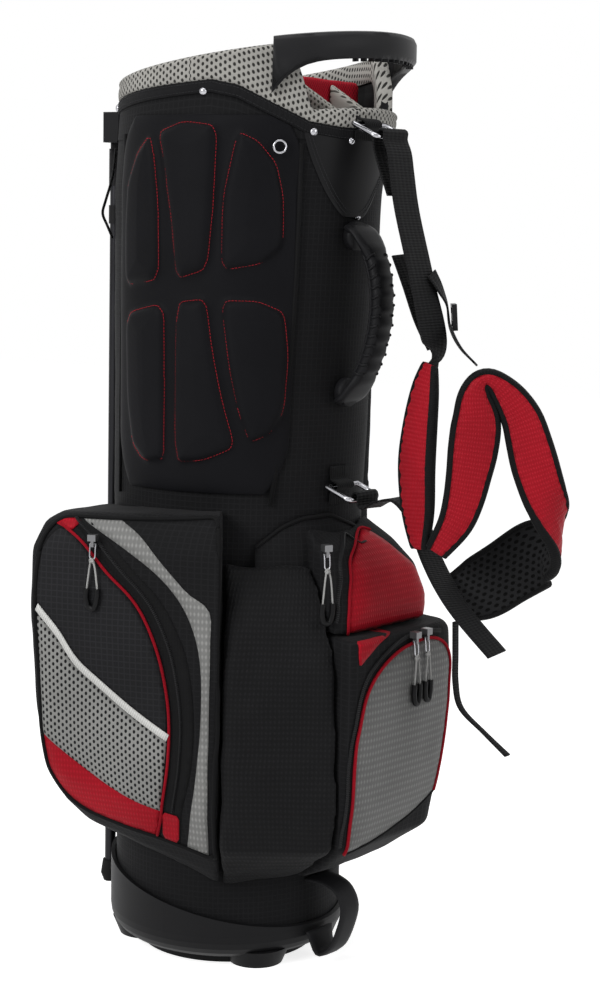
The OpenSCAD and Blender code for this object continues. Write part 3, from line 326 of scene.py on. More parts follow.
def fabric(name, colour, pattern, pitch, under=None, rough=0.72, relief=0.0003, sheen=0.02, on="UV", wear=0.14,
           gleam=0.07):
    """Woven cloth in metres: ripstop squares, dobby diamonds, a net with holes, webbing ribs or plain knit."""
    finish, tree, shader = new_finish(name, colour, rough, Sheen_Weight=sheen, Sheen_Roughness=0.45,
                                      Specular_IOR_Level=gleam)
    coordinates = make_node(tree, "ShaderNodeTexCoord")
    lay = coordinates.outputs[on]

    def sum_up(operation, a, b=0.0):
        return make_node(tree, "ShaderNodeMath", {0: a, 1: b}, operation=operation).outputs[0]

    def wave(x, y, length):
        step = 2 * math.pi / length
        along = make_node(tree, "ShaderNodeVectorMath", {0: lay, 1: (x * step, y * step, 0)}, operation="DOT_PRODUCT")
        return sum_up("COSINE", along.outputs["Value"])

    threads = sum_up("MULTIPLY", wave(1, 0, 0.0013), wave(0, 1, 0.0013))
    if pattern == "ripstop":
        cords = [sum_up("POWER", sum_up("ABSOLUTE", wave(x, y, 2 * pitch)), 22.0) for x, y in ((1, 0), (0, 1))]
        form = sum_up("MAXIMUM", cords[0], cords[1])
    elif pattern == "dobby":
        form = sum_up("SMOOTH_MAX", sum_up("MULTIPLY", wave(1, 0.6, pitch), wave(1, -0.6, pitch)), 0.0)
    elif pattern == "net":
        row = pitch * 0.87
        form = sum_up("ADD", wave(1, 0, row), sum_up("ADD", wave(0.5, 0.62, row), wave(-0.5, 0.62, row)))
        form = make_node(tree, "ShaderNodeMapRange", {0: form, 1: 0.2, 2: 1.3, 3: 1.0, 4: 0.0}).outputs[0]
    elif pattern == "webbing":
        ribs, cords = sum_up("MULTIPLY", wave(0, 1, pitch), 0.5), sum_up("MULTIPLY", wave(1, 0, 2.2 * pitch), 0.25)
        form = sum_up("ADD", sum_up("ADD", ribs, cords), 0.5)
    else:
        form = sum_up("MULTIPLY_ADD", wave(1, 1, pitch), 0.5)
    slow = make_node(tree, "ShaderNodeTexNoise", {
        "Vector": coordinates.outputs["Object"], "Scale": 11.0, "Detail": 4.0})
    tone = make_node(tree, "ShaderNodeMapRange", {
        0: slow.outputs["Fac"], 1: 0.3, 2: 0.7, 3: 1 - wear, 4: 1 + wear})
    under = under or [c * 0.62 for c in colour]
    depth = make_node(tree, "ShaderNodeMix", {0: form, 6: (*under, 1), 7: (*colour, 1)}, data_type="RGBA")
    tint = make_node(tree, "ShaderNodeVectorMath", {0: depth.outputs[2], 3: tone.outputs[0]}, operation="SCALE")
    tree.links.new(tint.outputs[0], shader.inputs["Base Color"])
    height = sum_up("ADD", form, sum_up("MULTIPLY", threads, 0.14))
    bump = make_node(tree, "ShaderNodeBump", {"Strength": 0.8, "Distance": relief, "Height": height})
    tree.links.new(bump.outputs[0], shader.inputs["Normal"])
    return finish


def sewn_piece(name, places, lay, finishes, ring=False, capped=False, which=None, node=None, body="bag",
               heart=None):
    """A smooth piece from a grid of places; which(row, column) picks its finish, heart is a point behind it."""
    rows, columns = places.shape[:2]
    count = columns if ring else columns - 1
    corners = [(i, j) for i in range(rows - 1) for j in range(count)]
    faces = [(i * columns + j, i * columns + (j + 1) % columns, (i + 1) * columns + (j + 1) % columns,
              (i + 1) * columns + j) for i, j in corners]
    marks = [(lay[i, j], lay[i, j + 1], lay[i + 1, j + 1], lay[i + 1, j]) for i, j in corners]
    pick = [which(i, j) if which else 0 for i, j in corners]
    if capped:
        for start, i in ((0, 0), ((rows - 1) * columns, rows - 1)):
            faces.append(tuple(range(start, start + columns)))
            marks.append(tuple(lay[i, j] for j in range(columns)))
            pick.append(which(min(i, rows - 2), 0) if which else 0)
    shape = bpy.data.meshes.new(name)
    shape.from_pydata(places.reshape(-1, 3).tolist(), [], faces)
    sheet = shape.uv_layers.new(name="UVMap")
    sheet.data.foreach_set("uv", np.concatenate([np.array(m, dtype=float) for m in marks]).astype(np.float32).ravel())
    for finish in finishes:
        shape.materials.append(finish)
    for face, index in zip(shape.polygons, pick):
        face.material_index = index
        face.use_smooth = True
    face_outwards(shape, heart)
    return new_piece(name, shape, body, node)


def face_outwards(shape, heart):
    """Turns a closed mesh's faces out, and an open one's away from the heart that it is given."""
    form = bmesh.new()
    form.from_mesh(shape)
    if heart is None:
        bmesh.ops.recalc_face_normals(form, faces=form.faces)
    elif sum(f.normal.dot(f.calc_center_median() - Vector(heart)) * f.calc_area() for f in form.faces) < 0:
        bmesh.ops.reverse_faces(form, faces=form.faces)
    form.to_mesh(shape)
    form.free()


def wall(piece, thickness):
    """Gives a cloth sheet its thickness, behind the face that shows."""
    solid = piece.modifiers.new("thickness", "SOLIDIFY")
    solid.thickness = thickness
    solid.offset = -1
    solid.use_even_offset = False


ripstop = fabric("ripstop", (0.0125, 0.0125, 0.0135), "ripstop", 0.0052, relief=0.00022)
tube_turns = np.linspace(0, 360, 193)
tube_rows = np.concatenate([[tube_low], np.linspace(tube_low + 0.006, tube_high, 120)])
tube_grid = on_tube(tube_turns[:-1], tube_rows[:, None])
tube_drop = slack(tube_grid, 0.07, 0.0012) * np.clip((tube_high - tube_rows) / 0.03, 0, 1)[:, None]
tube_grid = on_tube(tube_turns[:-1], tube_rows[:, None], tube_drop - 0.0002)
tube_grid[0, :, :2] *= 0.97
bag_tube = sewn_piece("tube_cloth", tube_grid, tube_lay(tube_turns, tube_rows[:, None]), [ripstop],
                      ring=True, node="bag_tube", heart=(0, 0.01, 0.4))
wall(bag_tube, tube_wall - 0.0006)

# ---- Hip pad ----
# A moulded pad of black neoprene over foam, sewn into the tube's side: six raised lobes with channels
# between them, and a row of red stitches round each lobe.
pad_left, pad_right = -37, 50
pad_low = 0.462
pad_seat = 0.0008
pad_lip, pad_base, pad_rise, pad_shoulder = 0.0012, 0.0036, 0.0072, 0.0055
pad_length = 0.34
degree_width = 0.00205
pad_lobes = (
    ((-28, 650), (-28.5, 705), (-27, 745), (-22.5, 772), (-16, 787), (-12.5, 770), (-9, 735), (-7.5, 657)),
    ((-11, 790), (0, 800), (14, 796), (15.5, 735), (13.5, 668), (0.5, 658), (-2.5, 715), (-6, 755)),
    ((22, 791), (30, 783), (38, 763), (42, 735), (43, 690), (35, 674), (19.2, 667), (18.8, 725)),
    ((-27.5, 624), (-5, 636), (-4, 560), (-3.6, 491), (-14, 488), (-22, 503), (-26, 545)),
    ((0.5, 637), (13.3, 641), (16.5, 595), (21, 550), (27, 506), (14, 493), (1.5, 490)),
    ((19.5, 640), (34, 640), (44.5, 630), (47.2, 590), (46.5, 540), (41, 519), (33, 511), (28, 538), (23.5, 580)),
)


def rounded_line(points, rounds=3):
    """A closed line through given corners, its corners cut back until they are round."""
    line = np.array(points, dtype=float)
    for _ in range(rounds):
        after = np.roll(line, -1, axis=0)
        line = np.stack([0.86 * line + 0.14 * after, 0.14 * line + 0.86 * after], 1).reshape(-1, line.shape[1])
    return line


def distance_to_line(spots, line):
    """Distance from each spot to a closed line in the plane."""
    best = np.full(len(spots), 1e9)
    for a, b in zip(line, np.roll(line, -1, axis=0)):
        run = b - a
        t = np.clip((spots - a) @ run / max(run @ run, 1e-18), 0, 1)
        best = np.minimum(best, np.linalg.norm(spots - a - t[:, None] * run, axis=1))
    return best


def inside_line(spots, line):
    """Whether each spot lies inside a closed line in the plane."""
    hit = np.zeros(len(spots), bool)
    for (ax, ay), (bx, by) in zip(line, np.roll(line, -1, axis=0)):
        crosses = (ay > spots[:, 1]) != (by > spots[:, 1])
        with np.errstate(all="ignore"):
            hit ^= crosses & (spots[:, 0] < (bx - ax) * (spots[:, 1] - ay) / (by - ay) + ax)
    return hit


def band_top(degrees):
    """Height of the black band's upper edge, which dips towards the straps."""
    away = np.abs((degrees + 90 + 540) % 360 - 180)
    return np.interp(away, (0, 30, 65, 99, 110, 124, 140, 155, 180),
                     (0.818, 0.821, 0.83, 0.837, 0.832, 0.817, 0.801, 0.797, 0.796))


pad_columns, pad_rows = 210, 330
pad_roof_high = 0.806
pad_shares = np.linspace(0, 1, pad_rows)
round_in = 10 * np.clip(1 - pad_shares / 0.16, 0, 1) ** 2 + 8 * np.clip((pad_shares - 0.9) / 0.1, 0, 1) ** 2
pad_across = np.linspace(0, 1, pad_columns)
pad_angle = (pad_left + round_in)[:, None] * (1 - pad_across) + (pad_right - round_in)[:, None] * pad_across
pad_roof = np.minimum(pad_roof_high, band_top(pad_angle) - 0.0119)
pad_height = pad_low + (pad_roof - pad_low) * pad_shares[:, None]
pad_spots = pairs(pad_angle * degree_width, pad_height).reshape(-1, 2)
lobe_lines = [rounded_line([(a * degree_width, z / 1000) for a, z in lobe]) for lobe in pad_lobes]
lobe_rise = np.zeros(len(pad_spots))
for line in lobe_lines:
    depth_in = distance_to_line(pad_spots, line) * np.where(inside_line(pad_spots, line), 1, -1)
    swell = 1 / (1 + np.exp(-(depth_in - 0.0008) / 0.0016)) + 0.25 * np.clip(depth_in / 0.02, 0, 1)
    lobe_rise = np.maximum(lobe_rise, swell / 1.25)
pad_edge = np.minimum(np.minimum(pad_across, 1 - pad_across) * (pad_right - pad_left) * degree_width,
                      np.minimum(pad_shares, 1 - pad_shares)[:, None] * pad_length)
pad_thick = (pad_lip + (pad_base - pad_lip) * (1 - np.exp(-pad_edge / pad_shoulder))
             + pad_rise * lobe_rise.reshape(pad_edge.shape))
pad_face = on_tube(pad_angle, pad_height, pad_seat + pad_thick)
neoprene = fabric("neoprene", (0.0068, 0.0068, 0.0082), "knit", 0.0016, rough=0.55, relief=0.00008, wear=0.2,
                  gleam=0.05)
hip_pad = sewn_piece("hip_pad_cloth", pad_face, pairs(pad_angle * degree_width, pad_height), [neoprene],
                     node="hip_pad", heart=(0, 0.01, 0.6))
wall(hip_pad, 0.0011)


def row_tree():
    """Beads along a path: stitches, zip teeth and the like. Width, thickness and length are one bead's size."""
    tree = bpy.data.node_groups.new("bead_row", "GeometryNodeTree")
    sockets = (("Path", "Geometry"), ("Pitch", "Float"), ("Width", "Float"), ("Thickness", "Float"),
               ("Length", "Float"), ("Finish", "Material"))
    for name, kind in sockets:
        tree.interface.new_socket(name, in_out="INPUT", socket_type="NodeSocket" + kind)
    tree.interface.new_socket("Row", in_out="OUTPUT", socket_type="NodeSocketGeometry")
    given = make_node(tree, "NodeGroupInput").outputs
    curve = make_node(tree, "GeometryNodeMeshToCurve", {0: given["Path"]})
    stops = make_node(tree, "GeometryNodeCurveToPoints", {"Curve": curve.outputs[0], "Length": given["Pitch"]},
                      mode="LENGTH")
    bead = make_node(tree, "GeometryNodeMeshCylinder", {"Vertices": 6, "Radius": 0.5, "Depth": 1.0})
    size = make_node(tree, "ShaderNodeCombineXYZ", {0: given["Width"], 1: given["Thickness"], 2: given["Length"]})
    row = make_node(tree, "GeometryNodeInstanceOnPoints", {
        "Points": stops.outputs["Points"], "Instance": bead.outputs["Mesh"],
        "Rotation": stops.outputs["Rotation"], "Scale": size.outputs[0]})
    real = make_node(tree, "GeometryNodeRealizeInstances", {0: row.outputs[0]})
    dyed = make_node(tree, "GeometryNodeSetMaterial", {0: real.outputs[0], "Material": given["Finish"]})
    make_node(tree, "NodeGroupOutput", {"Row": dyed.outputs[0]})
    return tree


bead_rows = row_tree()


def bead_row(name, paths, finish, pitch, width, thickness, length):
    """A plain mesh of beads along one or more paths."""
    spots, joins = [], []
    for path in paths:
        start = len(spots)
        spots += [tuple(p) for p in path]
        joins += [(start + i, start + i + 1) for i in range(len(path) - 1)]
    track = bpy.data.meshes.new(name + "_path")
    track.from_pydata(spots, joins, [])
    carrier = bpy.data.objects.new(name + "_path", track)
    bpy.context.collection.objects.link(carrier)
    rows = carrier.modifiers.new("beads", "NODES")
    rows.node_group = bead_rows
    given = {"Pitch": pitch, "Width": width, "Thickness": thickness, "Length": length, "Finish": finish}
    for item in bead_rows.interface.items_tree:
        if item.name in given:
            rows[item.identifier] = given[item.name]
    ready = carrier.evaluated_get(bpy.context.evaluated_depsgraph_get())
    new_piece(name, bpy.data.meshes.new_from_object(ready))
    bpy.data.objects.remove(carrier)


red_thread = moulded("red_thread", (0.38, 0.012, 0.02), 0.6, grain=0.0006)


def over_pad(line):
    """A closed line on the hip pad, just above its face."""
    ring = np.concatenate([line, line[:1]])
    spots = ring / (degree_width, 1)
    rows = (ring[:, 1] - pad_low) / (pad_roof_high - pad_low) * (pad_rows - 1)
    columns = (spots[:, 0] - pad_left) / (pad_right - pad_left) * (pad_columns - 1)
    rows, columns = (np.clip(x.astype(int), 0, most - 1) for x, most in ((rows, pad_rows), (columns, pad_columns)))
    return on_tube(spots[:, 0], ring[:, 1], pad_seat + pad_thick[rows, columns] + 0.0003)


bead_row("hip_pad_stitches", [over_pad(line) for line in lobe_lines], red_thread,
         pitch=0.0031, width=0.0006, thickness=0.0005, length=0.0021)

# ---- Collar and cuff ----
# A moulded ring stiffens the mouth. A light spacer-mesh cuff is rolled over it, held by a black bias
# band with rivets; the rim dips under the arch handle.


def eased(path, rounds=3):
    """The same path with its small steps evened out."""
    path = path.copy()
    for _ in range(rounds):
        path[1:-1] = 0.5 * path[1:-1] + 0.25 * (path[:-2] + path[2:])
    return path


def run_along(path):
    """The length of a path up to each of its points."""
    return np.concatenate([[0], np.cumsum(np.linalg.norm(np.diff(path, axis=0), axis=1))])


def cord_grid(path, radius, sides=10):
    """Rings round a path, and the lay of a sheath on it."""
    path = np.asarray(path, dtype=float)
    heading = np.gradient(path, axis=0)
    heading /= np.linalg.norm(heading, axis=1)[:, None] + 1e-12
    side = np.zeros_like(path)
    last = np.cross(heading[0], (0.3, 0.5, 0.81))
    for i, d in enumerate(heading):
        last = last - d * (d @ last)
        last /= np.linalg.norm(last)
        side[i] = last
    rise = np.cross(heading, side)
    turn = np.linspace(0, 2 * np.pi, sides, endpoint=False)
    rings = path[:, None] + radius * (side[:, None] * np.cos(turn)[:, None] + rise[:, None] * np.sin(turn)[:, None])
    return rings, pairs(np.linspace(0, 2 * np.pi, sides + 1) * radius, run_along(path)[:, None])


def piping(name, path, radius, finish=None):
    """A covered cord sewn into a seam, black where nothing else is said."""
    rings, lay = cord_grid(eased(path), radius)
    sewn_piece(name, rings, lay, [finish or black_piping], ring=True, capped=True)


black_piping = fabric("black_piping", (0.008, 0.008, 0.0085), "webbing", 0.0014, relief=0.0001)
cuff_pad, cuff_roll, cuff_hem = 0.0032, 0.0028, 0.0235
ring_inner, ring_top, band_seat = -0.0093, 0.0042, 0.0112


def rim_top(degrees):
    """Height of the cuff's rim: it rises towards the straps and dips between the handle's lugs."""
    dip = np.clip((52 - np.abs(degrees - 90)) / 14, 0, 1)
    return 0.858 + 0.019 * np.sin(np.radians(degrees)) - 0.061 * dip * dip * (3 - 2 * dip)


spacer_mesh = fabric("spacer_mesh", (0.40, 0.39, 0.365), "net", 0.0044, under=(0.035, 0.034, 0.032), relief=0.0007,
                     rough=0.8)
cuff_columns = 240
cuff_turns = np.linspace(0, 360, cuff_columns + 1)
cuff_z, cuff_band = rim_top(cuff_turns), band_top(cuff_turns)
cuff_inner = ring_inner - 0.0009
cuff_profile = [(cuff_band, 0.0003), (cuff_band, 0.0014)]
for share in (0.12, 0.3, 0.5, 0.7, 0.88):
    cuff_profile.append((cuff_band * (1 - share) + (cuff_z - 0.006) * share,
                         cuff_pad * (0.62 + 0.38 * math.sin(share * math.pi))))
roll_middle, roll_reach = (cuff_roll + cuff_inner) / 2 - 0.0012, (cuff_roll - cuff_inner) / 2 + 0.0016
for turn in range(0, 181, 20):
    cuff_profile.append((cuff_z - 0.005 + 0.005 * math.sin(math.radians(turn)),
                         roll_middle + roll_reach * math.cos(math.radians(turn))))
cuff_profile += [(cuff_z - 0.014, cuff_inner - cuff_pad), (cuff_z - cuff_hem, cuff_inner - cuff_pad + 0.0004),
                 (cuff_z - cuff_hem, cuff_inner), (cuff_z - ring_top, cuff_inner), (cuff_z - ring_top, -0.0004)]
cuff_grid = np.stack([on_tube(cuff_turns[:-1], z[:-1], out) for z, out in cuff_profile])
cuff_grid = np.concatenate([cuff_grid, cuff_grid[:1]])
cuff_run = np.stack([run_along(cuff_grid[:, column % cuff_columns]) for column in range(cuff_columns + 1)], 1)
cuff = sewn_piece("cuff_mesh", cuff_grid, tube_lay(cuff_turns, cuff_run), [spacer_mesh], ring=True,
                  node="mesh_cuff")
bias_band = fabric("bias_band", (0.011, 0.011, 0.012), "webbing", 0.0012, relief=0.0002, on="Object", rough=0.7)
band_profile = ((-0.0113, 0.0004), (-0.0113, 0.0014), (-0.0098, 0.0021), (-0.0056, 0.0027), (-0.0018, 0.0021),
                (-0.0003, 0.0014), (-0.0003, 0.0004))
band_grid = np.stack([on_tube(cuff_turns[:-1], cuff_band[:-1] + up, out)
                      for up, out in band_profile + band_profile[:1]])
collar_band = sewn_piece("collar_bias_band", band_grid, tube_lay(cuff_turns, np.arange(8)[:, None] * 0.002),
                         [bias_band], ring=True, node="collar_band")
black_thread = moulded("black_thread", (0.03, 0.03, 0.032), 0.6, grain=0.0006)
bead_row("collar_band_stitches", [on_tube(cuff_turns, cuff_band + up, 0.0024) for up in (-0.0092, -0.0024)],
         black_thread, pitch=0.0034, width=0.0007, thickness=0.0005, length=0.0022)
finish_nodes(base_plastic, "collar_ring", "leg_bracket")
collar_rows = np.linspace(0, 1, 7)[:, None]
collar_foot = tube_high - 0.003
collar_grid = on_tube(cuff_turns, collar_foot + (cuff_band - band_seat - collar_foot) * collar_rows, 0.0004)
collar_cloth = sewn_piece("collar_cloth", collar_grid[:, :-1], tube_lay(cuff_turns, collar_foot + 0.03 * collar_rows),
                          [ripstop], ring=True, heart=(0, 0.01, 0.6))
wall(collar_cloth, 0.0003)
for name, radius, out, spots in (
        ("pad_seam", 0.0022, 0.0016, ((47.4, 0.782), (49.5, 0.72), (50.6, 0.66), (50.8, 0.6), (49.6, 0.55), (47, 0.5),
                                      (43, 0.452))),
        ("pad_seam_left", 0.0016, 0.0012, ((-38, 0.79), (-39, 0.7), (-39.5, 0.6), (-39, 0.5), (-38, 0.452)))):
    piping(name, eased(on_tube(*np.array(spots).T, out)), radius)
arch_plastic = moulded("arch_plastic", (0.013, 0.013, 0.014), 0.42)
smooth_copy("arch_handle", arch_plastic, crease=38, bevel=0.0006)

# ---- Club dividers ----
# Foam bars sleeved in spacer mesh cross the mouth, one red in front and the others light grey. Thin
# nylon sheets hang from them down the whole tube and part the clubs.
sleeve_grey = fabric("sleeve_grey", (0.36, 0.35, 0.32), "net", 0.0036, under=(0.07, 0.068, 0.06), relief=0.0005)
sleeve_red = fabric("sleeve_red", (0.44, 0.008, 0.022), "net", 0.0034, under=(0.13, 0.003, 0.008), relief=0.0005)
lining = fabric("divider_nylon", (0.02, 0.02, 0.021), "ripstop", 0.006, on="Object")


def lay_weave(shape):
    """A weave in metres on any mesh: round the tube and up it, or flat where a face looks up or down."""
    layer = shape.uv_layers.new(name="UVMap") if not shape.uv_layers else shape.uv_layers[0]
    for face in shape.polygons:
        middle = math.atan2(face.center.y - 0.01, face.center.x)
        for loop in face.loop_indices:
            p = shape.vertices[shape.loops[loop].vertex_index].co
            if abs(face.normal.z) > 0.8:
                layer.data[loop].uv = (p.x, p.y)
            else:
                turn = math.atan2(p.y - 0.01, p.x)
                turn += 2 * math.pi * round((middle - turn) / (2 * math.pi))
                spread = Vector((p.x, p.y - 0.01)).length
                layer.data[loop].uv = (turn * wrap_radius + (spread - wrap_radius) * 0.4, p.z)


def padded_copy(node, finish, voxel, passes, sink, fold=0.05):
    """A soft copy of a plain CAD solid: fine even faces, rounded edges and slack folds, then its weave."""
    piece = bpy.data.objects.new(node + "_form", merged_mesh(node))
    bpy.context.collection.objects.link(piece)
    fine = piece.modifiers.new("faces", "REMESH")
    fine.mode = "VOXEL"
    fine.voxel_size = voxel
    rounded = piece.modifiers.new("round", "SMOOTH")
    rounded.iterations = passes
    ready = piece.evaluated_get(bpy.context.evaluated_depsgraph_get())
    soft = bpy.data.meshes.new_from_object(ready)
    bpy.data.objects.remove(piece)
    spots = np.array([v.co for v in soft.vertices])
    facing = np.array([v.normal for v in soft.vertices])
    spots += facing * slack(spots, fold, sink)[:, None]
    soft.vertices.foreach_set("co", spots.ravel())
    soft.materials.append(finish)
    for face in soft.polygons:
        face.use_smooth = True
    lay_weave(soft)
    cloth = new_piece(node + "_cloth", soft, body_of_node[node], node)
    return cloth


for bar in ("front_bar", "rear_bar", "rail_left", "rail_right", "mid_bar", "leg_side_bar"):
    sleeve, slot = (sleeve_red, "lining_red") if bar == "front_bar" else (sleeve_grey, "lining_grey")
    padded_copy(bar, sleeve, 0.0022, 5, sink=0.0006)
finish_nodes(lining, "front_sheet", "rear_sheet", "sheet_left", "sheet_right", "mid_sheet", "leg_side_sheet")
stay_resin = moulded("stay_resin", (0.55, 0.52, 0.43), 0.5)
finish_nodes(stay_resin, "stays")

# ---- Side pocket ----
# A deep pocket of black dobby polyester lies between the two coloured ones: one slack panel with soft
# creases. A ripstop gusset slopes from it up to the tube, where black piping covers its seam.
side_dobby = fabric("side_dobby", (0.0125, 0.0125, 0.0135), "dobby", 0.0062, under=(0.007, 0.007, 0.0075),
                    relief=0.0005, rough=0.6)
side_pocket = padded_copy("side_pocket", side_dobby, 0.0035, 10, sink=0.0045, fold=0.045)
gusset_low, gusset_swell = 0.36, 0.017
gusset_turns = np.linspace(37, 96, 48)
gusset_tops = np.interp(gusset_turns, (36, 38, 49, 58, 73, 82, 96), (410, 414, 432, 439, 441, 434, 424)) / 1000
gusset_share = np.linspace(0, 1, 22)[:, None]
gusset_heights = gusset_tops + (gusset_low - gusset_tops) * gusset_share
gusset_creases = 0.0009 * np.sin(gusset_turns * 0.55 + gusset_share * 5) * gusset_share
gusset_grid = on_tube(gusset_turns, gusset_heights, 0.0012 + gusset_swell * gusset_share ** 0.8 + gusset_creases)
gusset = sewn_piece("side_gusset", gusset_grid, tube_lay(gusset_turns, gusset_heights), [ripstop],
                    heart=(0, 0.01, 0.4))
wall(gusset, 0.0009)
piping("side_gusset_piping", on_tube(gusset_turns, gusset_tops, 0.0022), 0.0018)

# ---- Apparel and cooler pocket ----
# The big pocket on the hip side: charcoal ripstop over a stiff foam face, a red-piped zip that curves
# down the face, a grey dobby wing beside it, an elastic-topped net pocket and a red foot.


def carrier_of(*pieces):
    """The faces of some finished pieces, as one surface to lay things on."""
    places, faces = [], []
    for piece in pieces:
        start = len(places)
        places += [v.co.copy() for v in piece.data.vertices]
        faces += [[start + i for i in face.vertices] for face in piece.data.polygons]
    return BVHTree.FromPolygons(places, faces)


def press(spots, ground, lift):
    """Lays flat pattern points in millimetres, across and up, on a ground: a direction in degrees and its faces."""
    turn, carrier = math.radians(ground[0]), ground[1]
    far, near = 0.6, 0.16
    facing = Vector((math.cos(turn), math.sin(turn), 0))
    along = Vector((-math.sin(turn), math.cos(turn), 0))
    places = []
    for across, up in np.asarray(spots, dtype=float):
        start = along * (across / 1000) + facing * far + Vector((0, 0, up / 1000))
        place, normal, _, _ = carrier.ray_cast(start, -facing)
        if place is None:
            place, normal, _, _ = carrier.find_nearest(start - facing * (far - near))
        if normal.dot(facing) < 0:
            normal = -normal
        places.append(place + normal.lerp(facing, 0.4).normalized() * lift)
    return np.array(places)


def even_line(points, step):
    """A smooth open line through given points, with even steps."""
    p = np.array(points, dtype=float)
    fine = []
    for i in range(len(p) - 1):
        a, b, c, d = (p[min(max(i + k, 0), len(p) - 1)] for k in (-1, 0, 1, 2))
        for t in np.linspace(0, 1, 12, endpoint=False):
            fine.append(0.5 * (2 * b + (c - a) * t + (2 * a - 5 * b + 4 * c - d) * t ** 2
                               + (3 * b - a - 3 * c + d) * t ** 3))
    fine = np.array(fine + [p[-1]])
    run = run_along(fine)
    stops = np.linspace(0, run[-1], max(3, int(run[-1] / step) + 1))
    return np.stack([np.interp(stops, run, fine[:, k]) for k in range(p.shape[1])], -1)


def seam(name, spots, ground, lift, radius, finish=None, step=3):
    """Piping along a line of pattern points on a ground."""
    piping(name, press(even_line(spots, step), ground, lift), radius, finish)


def panel(name, outline, ground, finish, puff, lift=0.0008, spacing=5, edge=9, rounds=0):
    """A cut of cloth sewn on a pocket: its outline in millimetres, laid on the ground and puffed off it."""
    line = rounded_line(outline, rounds)
    dense = np.concatenate([np.linspace(a, b, max(2, int(np.linalg.norm(b - a) / 3) + 1))[:-1]
                            for a, b in zip(line, np.roll(line, -1, axis=0))])
    low, high = dense.min(0), dense.max(0)
    rows = enumerate(np.arange(low[1], high[1], spacing * 0.87))
    spots = np.array([(x + (j % 2) * spacing / 2, y) for j, y in rows for x in np.arange(low[0], high[0], spacing)])
    spots = spots[inside_line(spots, dense)]
    spots = spots[distance_to_line(spots, dense) > spacing * 0.45]
    points = [Vector(p) for p in np.concatenate([dense, spots])]
    cut = geometry.delaunay_2d_cdt(points, [], [list(range(len(dense)))], 1, 1e-4)
    flat = np.array([tuple(p) for p in cut[0]])
    crown = 1 - np.exp(-distance_to_line(flat, dense) / edge)
    places = press(flat, ground, 0)
    lifted = press(flat, ground, 0.001) - places
    places += lifted * 1000 * (lift + puff * crown)[:, None]
    shape = bpy.data.meshes.new(name)
    shape.from_pydata(places.tolist(), [], [list(f) for f in cut[2]])
    layer = shape.uv_layers.new(name="UVMap")
    for face in shape.polygons:
        face.use_smooth = True
        for loop in face.loop_indices:
            layer.data[loop].uv = flat[shape.loops[loop].vertex_index] / 1000
    shape.materials.append(finish)
    face_outwards(shape, heart=(0, 0.01, places[:, 2].mean()))
    piece = new_piece(name, shape)
    wall(piece, 0.0008)


apparel_pocket = padded_copy("apparel_pocket", ripstop, 0.0035, 8, sink=0.002, fold=0.06)
apparel_ground = (12.3, carrier_of(apparel_pocket))
charcoal = fabric("charcoal_ripstop", (0.022, 0.022, 0.024), "ripstop", 0.0056, relief=0.00025)
grey_dobby = fabric("grey_dobby", (0.33, 0.33, 0.32), "dobby", 0.0078, under=(0.2, 0.2, 0.195), relief=0.0005,
                    rough=0.5)
red_cloth = fabric("red_cloth", (0.42, 0.006, 0.018), "dobby", 0.0062, under=(0.31, 0.004, 0.012), relief=0.0003,
                   rough=0.5, gleam=0.1)
pocket_net = fabric("pocket_net", (0.28, 0.28, 0.27), "net", 0.0046, under=(0.012, 0.012, 0.013), relief=0.0006)
red_piping = fabric("red_piping", (0.34, 0.006, 0.016), "webbing", 0.0014, relief=0.0001)
zip_tape = fabric("zip_tape", (0.009, 0.009, 0.0095), "webbing", 0.0013, relief=0.00015)
white_elastic = fabric("white_elastic", (0.72, 0.72, 0.7), "webbing", 0.0022, under=(0.55, 0.55, 0.53), relief=0.0003)
coil_nylon = moulded("coil_nylon", (0.02, 0.02, 0.021), 0.35)

apparel_pipe = [(-113, 431), (-87, 415), (-63, 390), (-36, 365), (-18, 334), (-7, 297), (-2, 260), (-3, 218),
                (-12, 165), (-19, 140)]
net_top = [(-134, 350), (-114, 328), (-94, 300), (-66, 277), (-31, 252), (-4, 236)]
net_foot = [(-132, 231), (-101, 209), (-67, 187), (-38, 173), (-13, 166)]
front_edge = [(-131, 405), (-135, 380), (-135, 346), (-132, 271), (-131, 218), (-122, 184), (-105, 163), (-74, 149),
              (-20, 138), (12, 130), (40, 123)]


def between_lines(first, second):
    """The closed outline between two open lines that run the same way."""
    return np.concatenate([even_line(first, 8), even_line(second, 8)[::-1]])


panel("apparel_upper_face", between_lines(
    [(-133, 345), (-134, 375), (-129, 405), (-118, 424), (-104, 427), (-87, 413), (-63, 388), (-38, 364), (-20, 333),
     (-9, 297), (-4, 260), (-5, 237)], [(-131, 348), (-113, 330), (-93, 302), (-66, 279), (-31, 254), (-6, 238)]),
    apparel_ground, charcoal, puff=0.0022, rounds=1)
panel("apparel_net", between_lines(net_top, net_foot), apparel_ground, pocket_net, puff=0.003)
panel("apparel_red_foot", between_lines(net_foot, [(-130, 215), (-121, 184), (-104, 164), (-73, 150), (-19, 139)]),
      apparel_ground, red_cloth, puff=0.0018)
panel("apparel_grey_wing", between_lines(
    [(-92, 436), (-39, 408), (-5, 383), (17, 353), (28, 318), (30, 274), (25, 211), (11, 131)],
    [(-54, 437), (-32, 424), (-5, 397), (16, 376), (37, 361), (38.5, 330), (38, 290), (36, 210), (33, 127)]),
    apparel_ground, grey_dobby, puff=0.0018)
panel("apparel_zip_tape", between_lines(
    [(-104, 436), (-84, 418), (-60, 392), (-33, 367), (-15, 336), (-4, 297), (1, 260), (0, 218), (-9, 165), (-16, 140)],
    [(-92, 440), (-65, 420), (-38, 394), (-10, 366), (11, 328), (20, 290), (22, 250), (19, 210), (8, 165), (4, 135)]),
    apparel_ground, zip_tape, lift=0.0006, puff=0.0006)
